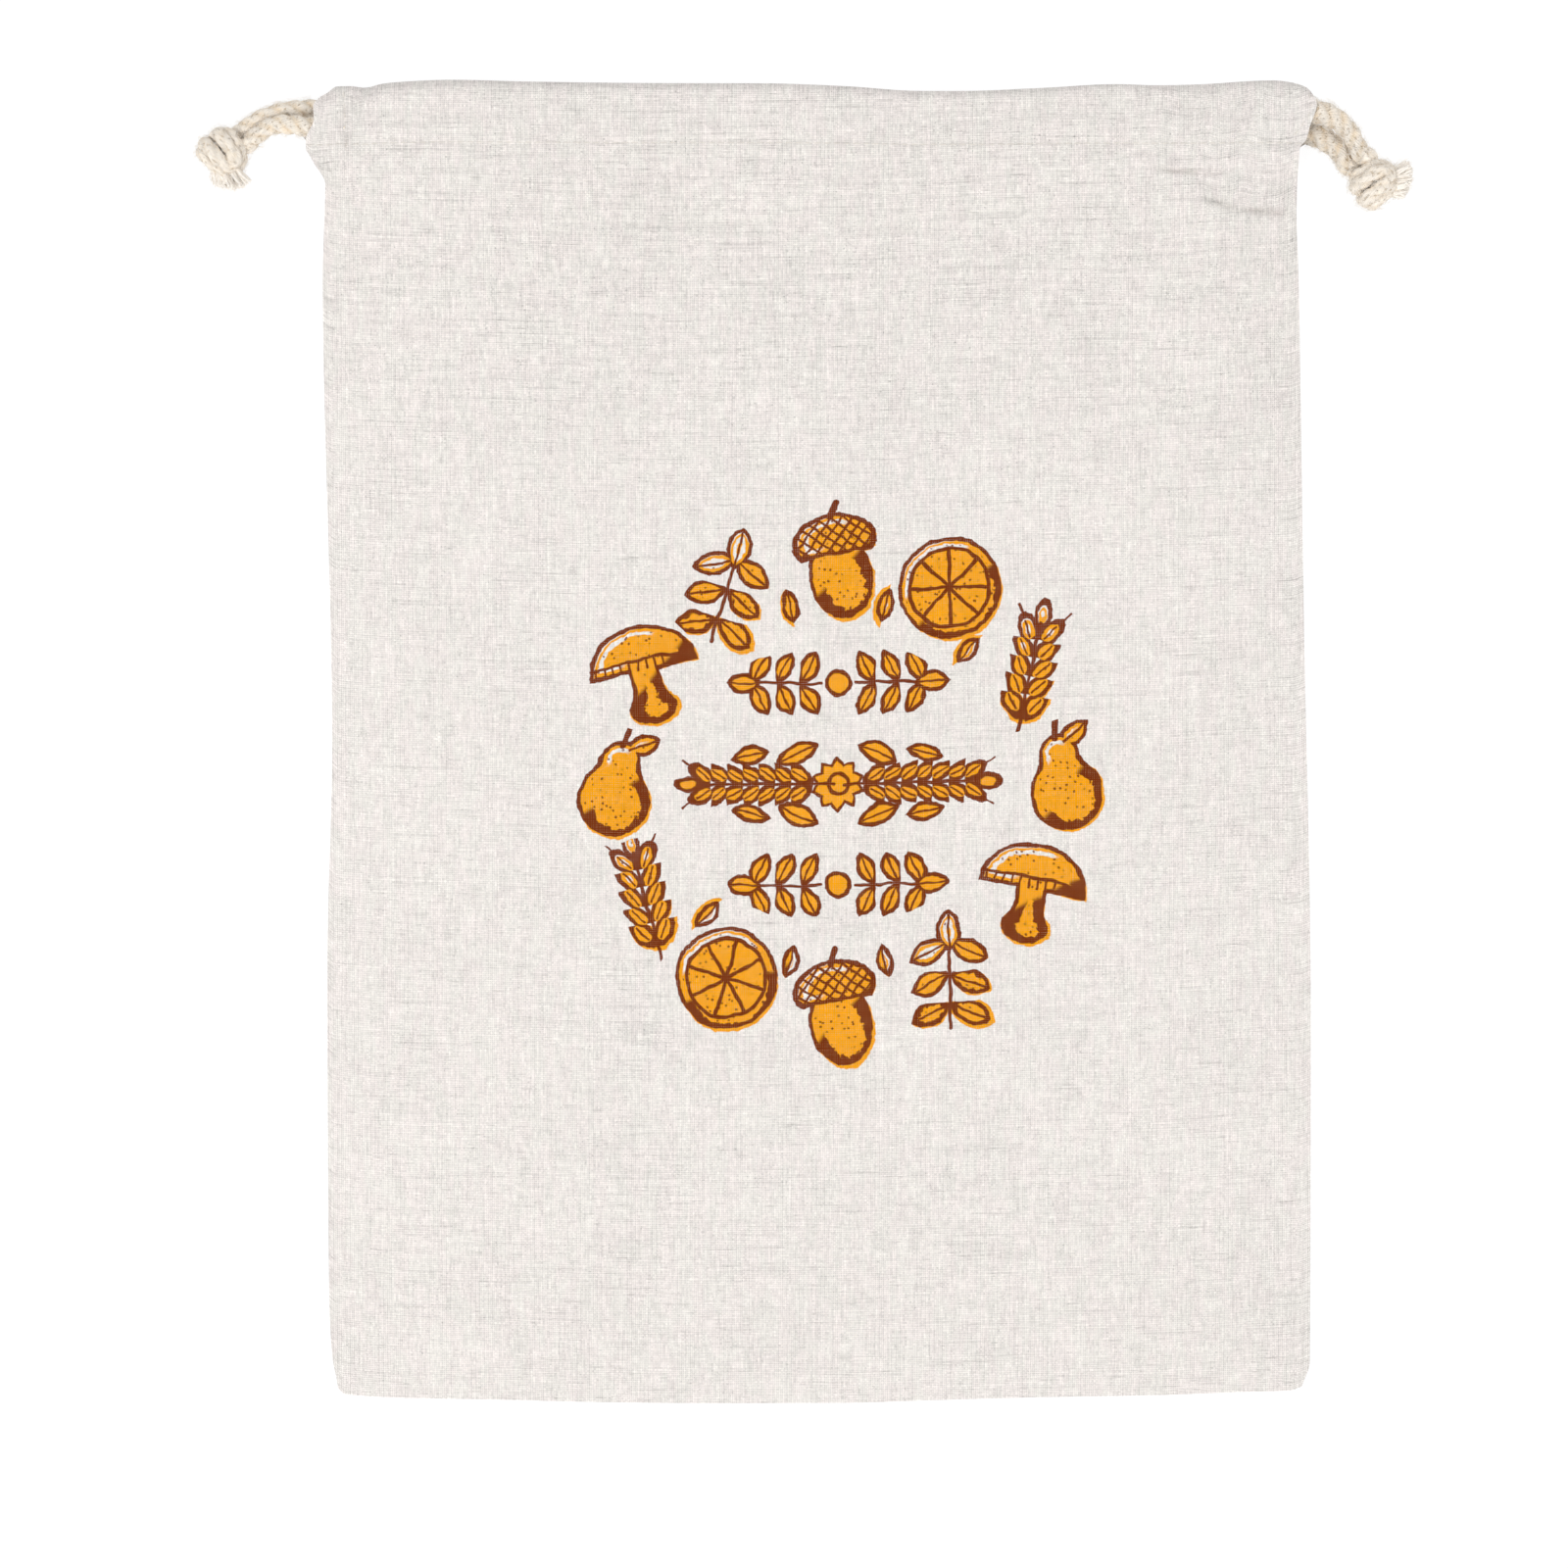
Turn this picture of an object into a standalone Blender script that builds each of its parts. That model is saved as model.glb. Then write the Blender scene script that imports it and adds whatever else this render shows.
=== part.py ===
"""A drawstring bread bag of linen, empty and lying on its back, mouth towards +Y.

Two panels of one layer of cloth each are sewn together at the sides and at the bottom. The top of
each panel is folded inwards and stitched down, which makes the casing. Two cords run through both
casings, one drawn out at each side, and each one's ends are knotted together.

Metres, +Z up. The origin is on the surface the bag lies on, in the middle of the panels' outline.
"""

import math

import bmesh
import bpy
from mathutils import Matrix, Vector

MM = 0.001

# Driving sizes, in millimetres
HALF_LENGTH = 200.0
CLOTH = 1.0
CORD = 5.0
EASE = 0.4
SEAM_GAP = 0.5
STITCH_Y = 182.1
HEM_END_Y = 179.0
MOUTH_GAP_SIDE = 0.5
MOUTH_GAP_MIDDLE = 5.5
MIDDLE_X = 1.6
ARCH_HALF_WIDTH = 148.0

# Worked out from them
CHANNEL = CORD + 2 * EASE
FOLD_RADIUS = (CHANNEL + CLOTH) / 2
STITCHED = CLOTH + 0.3
BACK_LEVEL = CLOTH / 2
FRONT_LEVEL = 2 * (CLOTH + CHANNEL + CLOTH) - CLOTH / 2

# The outline. Rows of the side tables: height y, then x. The bulge at the casing is its open end.
LEFT_SIDE = (
    (-200.0, -143.2),
    (-190.0, -145.0),
    (-173.0, -145.9),
    (-69.0, -146.5),
    (0.0, -145.0),
    (140.0, -147.7),
    (172.0, -146.8),
    (178.0, -150.2),
    (185.3, -155.4),
    (194.9, -155.4),
    (197.0, -148.6),
    (200.0, -142.0),
)
RIGHT_SIDE = (
    (-200.0, 150.6),
    (-192.0, 153.0),
    (-84.0, 153.3),
    (36.0, 151.2),
    (140.0, 149.4),
    (162.0, 148.6),
    (180.5, 149.2),
    (186.0, 154.5),
    (195.5, 154.5),
    (198.5, 152.9),
    (200.6, 148.3),
)
# Rows of the top and bottom tables: x, then height y
TOP_SIDE = (
    (-143.8, 199.4),
    (-111.6, 201.7),
    (-37.0, 200.3),
    (45.0, 198.2),
    (97.0, 200.3),
    (112.0, 199.7),
    (138.7, 201.7),
    (152.9, 198.6),
)
BOTTOM_SIDE = (
    (-143.8, -195.5),
    (-138.0, -198.4),
    (-82.0, -200.3),
    (-30.0, -200.9),
    (67.0, -198.8),
    (141.0, -197.3),
    (150.7, -195.8),
)
# How far a wave of the top or bottom edge reaches into the panel, as a power
TOP_WAVE_POWER = 30
BOTTOM_WAVE_POWER = 6

# Height of the front cloth away from its seams. Rows: y, then the fall from the casing's level.
FRONT_FALL = (
    (-200.0, 13.1),
    (-100.0, 13.0),
    (0.0, 12.5),
    (80.0, 11.2),
    (120.0, 9.0),
    (150.0, 5.8),
    (170.0, 2.6),
    (182.1, 1.0),
    (186.5, 0.0),
)
# Height of the side seam's middle. Rows: y, then z.
SEAM_HEIGHT = (
    (-200.0, 1.25),
    (50.0, 1.25),
    (110.0, 2.4),
    (150.0, 5.6),
    (167.0, 7.4),
)
SEAM_END_Y = 167.0
CASING_END_Y = 179.0
SIDE_MARGIN = 30.0
BOTTOM_MARGIN = 36.0
BACK_MARGIN = 18.0

# The hem ends short of the sides, where each cord turns from one casing to the other
HEM_LEFT = -130.5
HEM_RIGHT = 133.5

# Creases of the front. Columns: start x, y, end x, y, half width, depth (below zero is a ridge).
CREASES = (
    (104.0, 173.7, 126.0, 173.4, 2.4, 1.3),
    (119.0, 166.8, 131.0, 163.2, 2.6, 1.7),
    (131.0, 163.2, 150.0, 161.6, 2.4, 1.6),
    (112.0, 170.0, 140.0, 167.8, 2.6, -1.1),
    (80.0, 189.4, 102.0, 184.6, 2.6, -0.7),
    (-137.0, 180.0, -137.6, 197.0, 1.8, -0.5),
)
# Over this width at the side seams the creases fade out
CREASE_FADE = 10.0

# Places of the grid's lines: columns across from the left side, and rows up the nominal length
FRONT_COLUMNS = (
    0, 2.5, 6, 11, 18, 28, 42, 60, 80, 100, 120, 140, 160, 180, 200, 218, 232,
    242, 250, 257, 263, 269, 274, 279, 284, 288.5, 292, 295, 297,
)
FRONT_ROWS = (
    -200, -196.5, -190, -180, -165, -140, -110, -80, -50, -20, 10, 40, 70, 95,
    115, 131, 143, 152, 159, 163, 167, 170.5, 174, 178, STITCH_Y, 184.2, 187, 191,
)
BACK_COLUMNS = (0, 4, 10, 20, 40, 70, 100, 130, 160, 190, 220, 245, 262, 275, 285, 293, 297)
BACK_ROWS = (
    -200, -190, -150, -100, -50, 0, 50, 90, 120, 140, 155, 165, SEAM_END_Y, 178,
    STITCH_Y, 184.2, 187, 191,
)
FOLD_ANGLES = (90, 60, 30, 0, -30, -60, -90)
HEM_ROWS = (191, 187, 185.6, 184.2, 183.2, STITCH_Y, HEM_END_Y)
HEM_CLOSES_OVER = 4.0

# Cord routes, from the front strand at the knot, through the front casing, round the turn and
# back through the back casing. Columns: x, y, z.
RIGHT_CORD = (
    (171.35, 180.35, 7.0),
    (169.9, 182.9, 7.4),
    (167.4, 186.4, 8.2),
    (163.6, 190.0, 9.2),
    (158.8, 192.7, 10.3),
    (153.5, 194.1, 11.3),
    (147.5, 194.5, 12.2),
    (141.0, 194.4, 13.1),
    (134.0, 194.2, 14.0),
    (125.0, 194.2, 14.85),
    (100.0, 194.2, 16.2),
    (70.0, 194.2, 16.95),
    (35.0, 194.2, 17.2),
    (0.0, 194.2, 17.2),
    (-35.0, 194.2, 17.2),
    (-70.0, 194.2, 16.95),
    (-100.0, 194.2, 16.05),
    (-121.0, 194.2, 14.85),
    (-130.0, 194.2, 14.0),
    (-136.0, 194.3, 12.6),
    (-139.8, 193.4, 11.3),
    (-141.4, 191.1, 8.25),
    (-139.8, 188.8, 5.2),
    (-136.0, 187.9, 4.0),
    (-125.0, 187.9, 3.9),
    (-80.0, 187.9, 3.9),
    (-30.0, 187.9, 3.9),
    (30.0, 187.9, 3.9),
    (80.0, 187.9, 3.9),
    (125.0, 187.9, 3.9),
    (141.0, 187.7, 3.9),
    (147.0, 187.0, 3.9),
    (151.8, 185.8, 3.9),
    (156.4, 184.2, 3.9),
    (160.2, 182.2, 3.9),
    (163.0, 179.7, 4.0),
    (164.95, 176.65, 4.0),
)
LEFT_CORD = (
    (-168.55, 182.05, 7.0),
    (-165.8, 183.9, 7.5),
    (-162.0, 185.9, 8.5),
    (-157.0, 187.2, 10.0),
    (-151.0, 187.6, 11.7),
    (-144.0, 187.6, 12.8),
    (-137.0, 187.7, 13.4),
    (-130.0, 187.9, 14.0),
    (-121.0, 187.9, 14.85),
    (-100.0, 187.9, 16.05),
    (-70.0, 187.9, 16.95),
    (-35.0, 187.9, 17.2),
    (0.0, 187.9, 17.2),
    (35.0, 187.9, 17.2),
    (70.0, 187.9, 16.95),
    (100.0, 187.9, 16.2),
    (125.0, 187.9, 14.85),
    (133.0, 187.9, 14.0),
    (139.0, 187.9, 12.6),
    (142.8, 188.8, 11.3),
    (144.4, 191.1, 8.25),
    (142.8, 193.4, 5.2),
    (139.0, 194.3, 4.0),
    (128.0, 194.2, 3.9),
    (80.0, 194.2, 3.9),
    (30.0, 194.2, 3.9),
    (-30.0, 194.2, 3.9),
    (-80.0, 194.2, 3.9),
    (-128.0, 194.2, 3.9),
    (-142.0, 194.4, 3.9),
    (-149.0, 194.3, 3.9),
    (-155.5, 194.0, 3.9),
    (-161.5, 193.1, 3.9),
    (-167.4, 191.1, 4.0),
    (-172.8, 188.1, 4.0),
)
CORD_STEP = 2.5 * CORD
MOST_TURN = math.radians(24)

# Where each knot lies, and the way its strands head into it. Columns: x, y, degrees.
RIGHT_KNOT = (172.3, 171.3, -60.0)
LEFT_KNOT = (-177.5, 180.3, -145.0)
KNOT_HEIGHT = 5.5
# The knot in its own frame, strands heading along +X: under both rolls, over at the far one, round
# one side to the near roll, and back under to the tuft. Columns: x, y, z.
KNOT_PATH = (
    (-5.4, 0.0, -0.6),
    (-1.6, -0.6, -2.2),
    (2.2, -2.4, -2.4),
    (4.5, -4.7, 0.2),
    (4.3, -2.8, 2.9),
    (3.7, 1.4, 3.7),
    (1.9, 4.8, 2.2),
    (-1.2, 4.9, 1.9),
    (-2.8, 1.8, 3.7),
    (-2.8, -2.4, 3.5),
    (-2.2, -5.0, 0.4),
    (0.4, -3.0, -2.3),
    (2.9, 1.4, -2.0),
    (3.4, 4.8, 0.0),
)
KNOT_TUBE_RADIUS = 3.1
STUB_FACE_X = -8.0
STUB_ROOT_X = -3.0
STUB_SIDE = 3.7
STUB_RISE = 1.5
TUFT_ROOT = (3.4, 4.8, 0.0)
TUFT_HEADING = 76.0
TUFT_LENGTH = 7.6
TUFT_SPREAD = 27.0
LOCK_ROOT_RADIUS = 1.5
LOCK_TIP_RADIUS = 0.75
VOXEL = 0.5
KNOT_FACES_KEPT = 0.11


def clear_scene():
    """Takes away what a new scene starts with."""
    for thing in list(bpy.data.objects):
        bpy.data.objects.remove(thing)


def read(table, at):
    """The value of a two-column table at any place, by a smooth curve that never overshoots a row."""
    if at <= table[0][0]:
        return table[0][1]
    if at >= table[-1][0]:
        return table[-1][1]
    grades = [(b[1] - a[1]) / (b[0] - a[0]) for a, b in zip(table, table[1:])]
    n = next(i for i, row in enumerate(table[1:]) if at <= row[0])

    def slope(row):
        if row == 0 or row == len(grades):
            return grades[min(row, len(grades) - 1)]
        below, above = grades[row - 1], grades[row]
        return 0.0 if below * above <= 0 else 2 * below * above / (below + above)

    (start, low), (end, high) = table[n], table[n + 1]
    width = end - start
    t = (at - start) / width
    rise = 3 * t * t - 2 * t**3
    return (
        low
        + (high - low) * rise
        + slope(n) * width * (t - 2 * t * t + t**3)
        + slope(n + 1) * width * (t**3 - t * t)
    )


def ease_in(t):
    """0 to 1 with no slope at either end."""
    t = min(max(t, 0.0), 1.0)
    return t * t * (3 - 2 * t)


def shoulder(t):
    """0 to 1, steep at the seam and level at the far end."""
    t = min(max(t, 0.0), 1.0)
    return 1 - (1 - t) ** 2


def between(a, b, t):
    return a + (b - a) * t


def mouth_gap(x):
    """The gap between the two casings, wider in the middle of the mouth."""
    away = min(abs(x - MIDDLE_X) / ARCH_HALF_WIDTH, 1.0)
    return between(MOUTH_GAP_MIDDLE, MOUTH_GAP_SIDE, away**4)


def creased(x, y, creases):
    """How far the creases push the outer cloth down at a point."""
    total = 0.0
    for x0, y0, x1, y1, half_width, depth in creases:
        along, up = x1 - x0, y1 - y0
        t = ((x - x0) * along + (y - y0) * up) / (along**2 + up**2)
        near = min(max(t, 0.0), 1.0)
        off = math.hypot(x - x0 - near * along, y - y0 - near * up)
        total += depth * math.exp(-((off / half_width) ** 2))
    return total


def outline_point(across, height):
    """The x and y of the cloth at a share of its width and at a nominal height."""
    x = between(read(LEFT_SIDE, height), read(RIGHT_SIDE, height), across)
    up = (height + HALF_LENGTH) / (2 * HALF_LENGTH)
    top_wave = (read(TOP_SIDE, x) - HALF_LENGTH) * up**TOP_WAVE_POWER
    bottom_wave = (read(BOTTOM_SIDE, x) + HALF_LENGTH) * (1 - up) ** BOTTOM_WAVE_POWER
    return x, height + top_wave + bottom_wave


def from_side(x, height):
    return min(x - read(LEFT_SIDE, height), read(RIGHT_SIDE, height) - x)


def front_height(x, height):
    """The middle of the front cloth's thickness, above the surface."""
    seam = read(SEAM_HEIGHT, height) + (CLOTH + SEAM_GAP) / 2
    casing = FRONT_LEVEL + MOUTH_GAP_SIDE
    freed = ease_in((height - SEAM_END_Y) / (CASING_END_Y - SEAM_END_Y))
    edge = between(seam, casing, freed)
    full = FRONT_LEVEL + mouth_gap(x) - read(FRONT_FALL, height)
    inward = shoulder(from_side(x, height) / SIDE_MARGIN)
    upward = shoulder((height + HALF_LENGTH) / BOTTOM_MARGIN)
    return between(edge, full, inward * upward)


def back_height(x, height):
    """The middle of the back cloth's thickness: on the surface but where the side seam lifts it."""
    lifted = read(SEAM_HEIGHT, height) - (CLOTH + SEAM_GAP) / 2
    freed = ease_in((height - SEAM_END_Y) / (CASING_END_Y - SEAM_END_Y))
    edge = between(lifted, BACK_LEVEL, freed)
    inward = ease_in(from_side(x, height) / BACK_MARGIN)
    return between(edge, BACK_LEVEL, inward)


def hem_span(across, share):
    """x on the turned-in cloth, whose ends draw in from the sides as it leaves the fold."""
    left = between(read(LEFT_SIDE, HALF_LENGTH), HEM_LEFT, share)
    right = between(read(RIGHT_SIDE, HALF_LENGTH), HEM_RIGHT, share)
    return between(left, right, across)


def fold_point(across, angle, level, inwards):
    """A point round the fold at the mouth. inwards is -1 on the front and 1 on the back."""
    turned = math.radians(angle)
    rise = FOLD_RADIUS * math.cos(turned)
    if angle >= 0:
        height = HALF_LENGTH - CLOTH / 2 - FOLD_RADIUS + rise
        x = between(read(LEFT_SIDE, height), read(RIGHT_SIDE, height), across)
    else:
        x = hem_span(across, math.sin(-turned))
    y = read(TOP_SIDE, x) - CLOTH / 2 - FOLD_RADIUS + rise
    z = level(x, HALF_LENGTH) + inwards * FOLD_RADIUS * (1 - math.sin(turned))
    return x, y, z


def hem_point(across, height, level, inwards):
    """A point on the turned-in cloth between the fold and the hem's end."""
    x = hem_span(across, 1.0)
    _, y = outline_point(across, height)
    open_share = ease_in((height - STITCH_Y) / HEM_CLOSES_OVER)
    apart = between(STITCHED, 2 * FOLD_RADIUS, open_share)
    return x, y, level(x, height) + inwards * apart


def panel(name, columns, rows, level, inwards, creases, material):
    """One panel with its folded casing, as an open sheet that Solidify gives its thickness."""
    places = [("cloth", height) for height in rows]
    places += [("fold", angle) for angle in FOLD_ANGLES]
    places += [("hem", height) for height in HEM_ROWS]
    mesh = bpy.data.meshes.new(name)
    sheet = bmesh.new()
    last_column, last_row = len(columns) - 1, len(places) - 1
    bmesh.ops.create_grid(sheet, x_segments=last_column, y_segments=last_row, size=0.5)
    for vertex in sheet.verts:
        across = columns[round((vertex.co.x + 0.5) * last_column)] / columns[-1]
        kind, at = places[round((vertex.co.y + 0.5) * last_row)]
        if kind == "cloth":
            x, y = outline_point(across, at)
            fade = ease_in(from_side(x, at) / CREASE_FADE)
            z = level(x, at) - fade * creased(x, y, creases)
        elif kind == "fold":
            x, y, z = fold_point(across, at, level, inwards)
        else:
            x, y, z = hem_point(across, at, level, inwards)
        vertex.co = Vector((x, y, z)) * MM
    sheet.to_mesh(mesh)
    sheet.free()
    mesh.shade_smooth()
    made = bpy.data.objects.new(name, mesh)
    solid = made.modifiers.new("thickness", "SOLIDIFY")
    solid.thickness = CLOTH * MM
    solid.offset = 0
    solid.use_even_offset = True
    mesh.materials.append(material)
    return made


def smooth_path(points, step, most_turn=MOST_TURN):
    """Points along one smooth curve through the route's own, closer together where it bends."""
    spots = [Vector(p) for p in points]
    gaps = [(b - a).length for a, b in zip(spots, spots[1:])]
    ways = [(b - a) / gap for a, b, gap in zip(spots, spots[1:], gaps)]
    tangents = [ways[0]]
    for n in range(1, len(spots) - 1):
        blend = (ways[n - 1] * gaps[n] + ways[n] * gaps[n - 1]) / (gaps[n - 1] + gaps[n])
        tangents.append(blend)
    tangents.append(ways[-1])
    path = [spots[0]]
    for n, gap in enumerate(gaps):
        bend = tangents[n].angle(tangents[n + 1])
        steps = max(1, math.ceil(gap / step), math.ceil(bend / most_turn))
        for k in range(1, steps + 1):
            t = k / steps
            rise = 3 * t * t - 2 * t**3
            spot = spots[n] * (1 - rise) + spots[n + 1] * rise
            spot += tangents[n] * gap * (t - 2 * t * t + t**3)
            spot += tangents[n + 1] * gap * (t**3 - t * t)
            path.append(spot)
    return path


def tube(name, path, radius, material):
    """A round tube along a path, with filled caps."""
    data = bpy.data.curves.new(name, "CURVE")
    data.dimensions = "3D"
    data.bevel_depth = radius * MM
    data.bevel_resolution = 2
    data.use_fill_caps = True
    line = data.splines.new("POLY")
    line.points.add(len(path) - 1)
    for point, spot in zip(line.points, path):
        point.co = (*(spot * MM), 1)
    data.materials.append(material)
    return bpy.data.objects.new(name, data)


def as_mesh(source):
    """The evaluated mesh of an object that stands at the origin, its doubles merged."""
    bpy.context.scene.collection.objects.link(source)
    bpy.context.view_layer.update()
    graph = bpy.context.evaluated_depsgraph_get()
    mesh = bpy.data.meshes.new_from_object(source.evaluated_get(graph))
    bpy.data.objects.remove(source)
    body = bmesh.new()
    body.from_mesh(mesh)
    bmesh.ops.remove_doubles(body, verts=body.verts, dist=1e-6)
    body.to_mesh(mesh)
    body.free()
    return mesh


def stub(body, side):
    """The end of one strand where it enters the knot, as a short rod with a flat face."""
    length = STUB_ROOT_X - STUB_FACE_X
    middle = Vector((STUB_FACE_X + length / 2, side * STUB_SIDE, side * STUB_RISE))
    place = Matrix.Translation(middle * MM) @ Matrix.Rotation(math.radians(90), 4, "Y")
    bmesh.ops.create_cone(
        body,
        cap_ends=True,
        segments=12,
        radius1=CORD / 2 * MM,
        radius2=CORD / 2 * MM,
        depth=length * MM,
        matrix=place,
    )


def lock(body, number, count):
    """One lock of the frayed end, fanned out with the others from a common root."""
    fan = between(-1, 1, (number + 0.5) / count)
    heading = math.radians(TUFT_HEADING + TUFT_SPREAD * fan)
    climb = math.radians(14 * math.cos(2.4 * number))
    reach = TUFT_LENGTH * (0.9 + 0.12 * math.sin(5.1 * number + 1))
    way = Vector(
        (
            math.cos(heading) * math.cos(climb),
            math.sin(heading) * math.cos(climb),
            math.sin(climb),
        )
    )
    middle = Vector(TUFT_ROOT) + way * reach / 2
    place = Matrix.Translation(middle * MM) @ way.to_track_quat("Z", "Y").to_matrix().to_4x4()
    bmesh.ops.create_cone(
        body,
        cap_ends=True,
        segments=4,
        radius1=LOCK_ROOT_RADIUS * MM,
        radius2=LOCK_TIP_RADIUS * MM,
        depth=reach * MM,
        matrix=place,
    )


def knot(name, spot, material, locks=6):
    """The overhand knot that holds a cord's two ends, with the frayed tuft beyond it."""
    turns = tube(name + "_turns", smooth_path(KNOT_PATH, CORD / 2), KNOT_TUBE_RADIUS, material)
    mesh = as_mesh(turns)
    body = bmesh.new()
    body.from_mesh(mesh)
    stub(body, 1)
    stub(body, -1)
    for number in range(locks):
        lock(body, number, locks)
    body.to_mesh(mesh)
    body.free()
    rough = bpy.data.objects.new(name + "_rough", mesh)
    fused = rough.modifiers.new("fused", "REMESH")
    fused.mode = "VOXEL"
    fused.voxel_size = VOXEL * MM
    fewer = rough.modifiers.new("fewer", "DECIMATE")
    fewer.ratio = KNOT_FACES_KEPT
    solid = as_mesh(rough)
    solid.name = name
    x, y, heading = spot
    turn = Matrix.Rotation(math.radians(heading), 4, "Z")
    place = Matrix.Translation(Vector((x, y, KNOT_HEIGHT)) * MM) @ turn
    solid.transform(place)
    for vertex in solid.vertices:
        vertex.co.z = max(vertex.co.z, 0.0)
    solid.shade_smooth()
    solid.materials.clear()
    solid.materials.append(material)
    return bpy.data.objects.new(name, solid)


def finish(name, colour, roughness):
    """A plain material in the piece's own colour."""
    material = bpy.data.materials.new(name)
    material.use_nodes = True
    shader = material.node_tree.nodes["Principled BSDF"]
    shader.inputs["Base Color"].default_value = (*colour, 1)
    shader.inputs["Roughness"].default_value = roughness
    shader.inputs["Metallic"].default_value = 0.0
    return material


def main():
    clear_scene()
    linen = finish("linen", (0.80, 0.76, 0.71), 0.9)
    cotton = finish("cotton_cord", (0.78, 0.68, 0.54), 0.85)
    bag = bpy.data.collections.new("linen_bread_bag")
    bpy.context.scene.collection.children.link(bag)
    pieces = (
        panel("back_panel", BACK_COLUMNS, BACK_ROWS, back_height, 1, (), linen),
        panel("front_panel", FRONT_COLUMNS, FRONT_ROWS, front_height, -1, CREASES, linen),
        tube("cord_right", smooth_path(RIGHT_CORD, CORD_STEP), CORD / 2, cotton),
        tube("cord_left", smooth_path(LEFT_CORD, CORD_STEP), CORD / 2, cotton),
        knot("knot_right", RIGHT_KNOT, cotton),
        knot("knot_left", LEFT_KNOT, cotton),
    )
    for piece in pieces:
        bag.objects.link(piece)


main()
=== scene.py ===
"""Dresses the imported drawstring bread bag: linen panels with their print, stitching, cords and knots.

Sizes are in millimetres where a name or a table says so, and in metres where Blender needs them.
"""

import functools
import math
import random

import bmesh
import bpy
from bpy.props import FloatProperty, FloatVectorProperty, IntProperty, PointerProperty
from mathutils import Matrix, Vector, noise
from mathutils.kdtree import KDTree


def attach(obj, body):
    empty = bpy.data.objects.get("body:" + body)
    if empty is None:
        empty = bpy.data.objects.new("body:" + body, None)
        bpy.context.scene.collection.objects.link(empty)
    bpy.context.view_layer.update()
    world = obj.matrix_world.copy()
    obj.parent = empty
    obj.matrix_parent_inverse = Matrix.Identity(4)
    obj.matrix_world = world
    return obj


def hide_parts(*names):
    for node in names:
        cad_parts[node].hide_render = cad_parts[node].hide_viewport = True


bl_info = {
    "name": "Linen Bread Bag",
    "version": (1, 0, 0),
    "blender": (4, 5, 0),
    "location": "View3D > Sidebar > Bread Bag",
    "description": "Linen panels, print, stitching, cords and knots of a drawstring bread bag",
    "category": "Object",
}

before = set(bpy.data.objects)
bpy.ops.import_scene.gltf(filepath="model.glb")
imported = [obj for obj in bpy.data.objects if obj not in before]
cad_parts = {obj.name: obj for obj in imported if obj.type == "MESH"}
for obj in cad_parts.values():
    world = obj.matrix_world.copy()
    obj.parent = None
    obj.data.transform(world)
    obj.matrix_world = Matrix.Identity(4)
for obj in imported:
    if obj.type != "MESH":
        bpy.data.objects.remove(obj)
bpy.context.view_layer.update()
BODY = "root"
MM = 0.001

# Sizes of the solids, in millimetres
HALF_LENGTH = 200.0
CAD_CLOTH = 1.0
CAD_SEAM_GAP = 0.5
CORD = 5.0
EASE = 0.4
STITCH_Y = 182.1
HEM_END_Y = 179.0
MOUTH_GAP_SIDE = 0.5
MOUTH_GAP_MIDDLE = 5.5
MIDDLE_X = 1.6
ARCH_HALF_WIDTH = 148.0
CHANNEL = CORD + 2 * EASE
FOLD_RADIUS = (CHANNEL + CAD_CLOTH) / 2
STITCHED = CAD_CLOTH + 0.3
BACK_LEVEL = CAD_CLOTH / 2
FRONT_LEVEL = 2 * (CAD_CLOTH + CHANNEL + CAD_CLOTH) - CAD_CLOTH / 2

# The outline. Rows of the side tables: height y, then x. The bulge at the casing is its open end.
LEFT_SIDE = (
    (-200.0, -143.2), (-190.0, -145.0), (-173.0, -145.9), (-69.0, -146.5), (0.0, -145.0),
    (140.0, -147.7), (171.0, -146.8), (173.7, -148.0), (176.1, -149.7), (178.5, -151.1),
    (181.0, -152.4), (184.0, -152.7), (186.5, -154.6), (194.0, -154.6), (195.8, -152.2),
    (197.4, -148.4), (200.0, -142.0),
)
RIGHT_SIDE = (
    (-200.0, 150.6), (-192.0, 153.0), (-84.0, 153.3), (36.0, 151.2), (140.0, 149.4), (162.0, 148.6),
    (180.5, 149.2), (186.0, 154.5), (195.5, 154.5), (198.5, 152.9), (200.6, 148.3),
)
# The front's casing is drawn back a little from the cords that come out of it
FRONT_LEFT_SIDE = (
    *LEFT_SIDE[:11], (183.6, -152.5), (187.0, -151.2), (190.0, -150.0), (194.5, -150.2),
    (197.4, -148.4), (200.0, -142.0),
)
FRONT_RIGHT_SIDE = (
    *RIGHT_SIDE[:7], (183.5, 151.2), (188.0, 152.4), (195.0, 154.4), (198.5, 152.9), (200.6, 148.3)
)
BACK_SIDES = (LEFT_SIDE, RIGHT_SIDE)
FRONT_SIDES = (FRONT_LEFT_SIDE, FRONT_RIGHT_SIDE)
# Rows of the top and bottom tables: x, then height y
TOP_SIDE = (
    (-146.2, 198.6), (-142.6, 200.0), (-139.0, 200.0), (-134.5, 199.3), (-130.1, 200.5),
    (-124.7, 201.1), (-108.6, 201.7), (-84.8, 201.1), (-49.0, 200.6), (-13.3, 200.5), (10.6, 199.7),
    (34.4, 198.2), (46.3, 198.2), (70.2, 199.1), (94.0, 200.3), (105.9, 200.0), (117.9, 200.3),
    (141.7, 201.7), (147.1, 201.1), (150.6, 200.0), (152.9, 198.8),
)
BOTTOM_SIDE = (
    (-143.8, -195.8), (-141.0, -198.3), (-124.0, -199.3), (-96.7, -199.8), (-60.9, -200.6),
    (-30.0, -200.9), (10.6, -200.8), (34.4, -200.1), (70.2, -199.1), (105.9, -198.5), (130.0, -197.6),
    (147.0, -197.1), (150.7, -195.8),
)
TOP_WAVE_POWER = 30
BOTTOM_WAVE_POWER = 6

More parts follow.
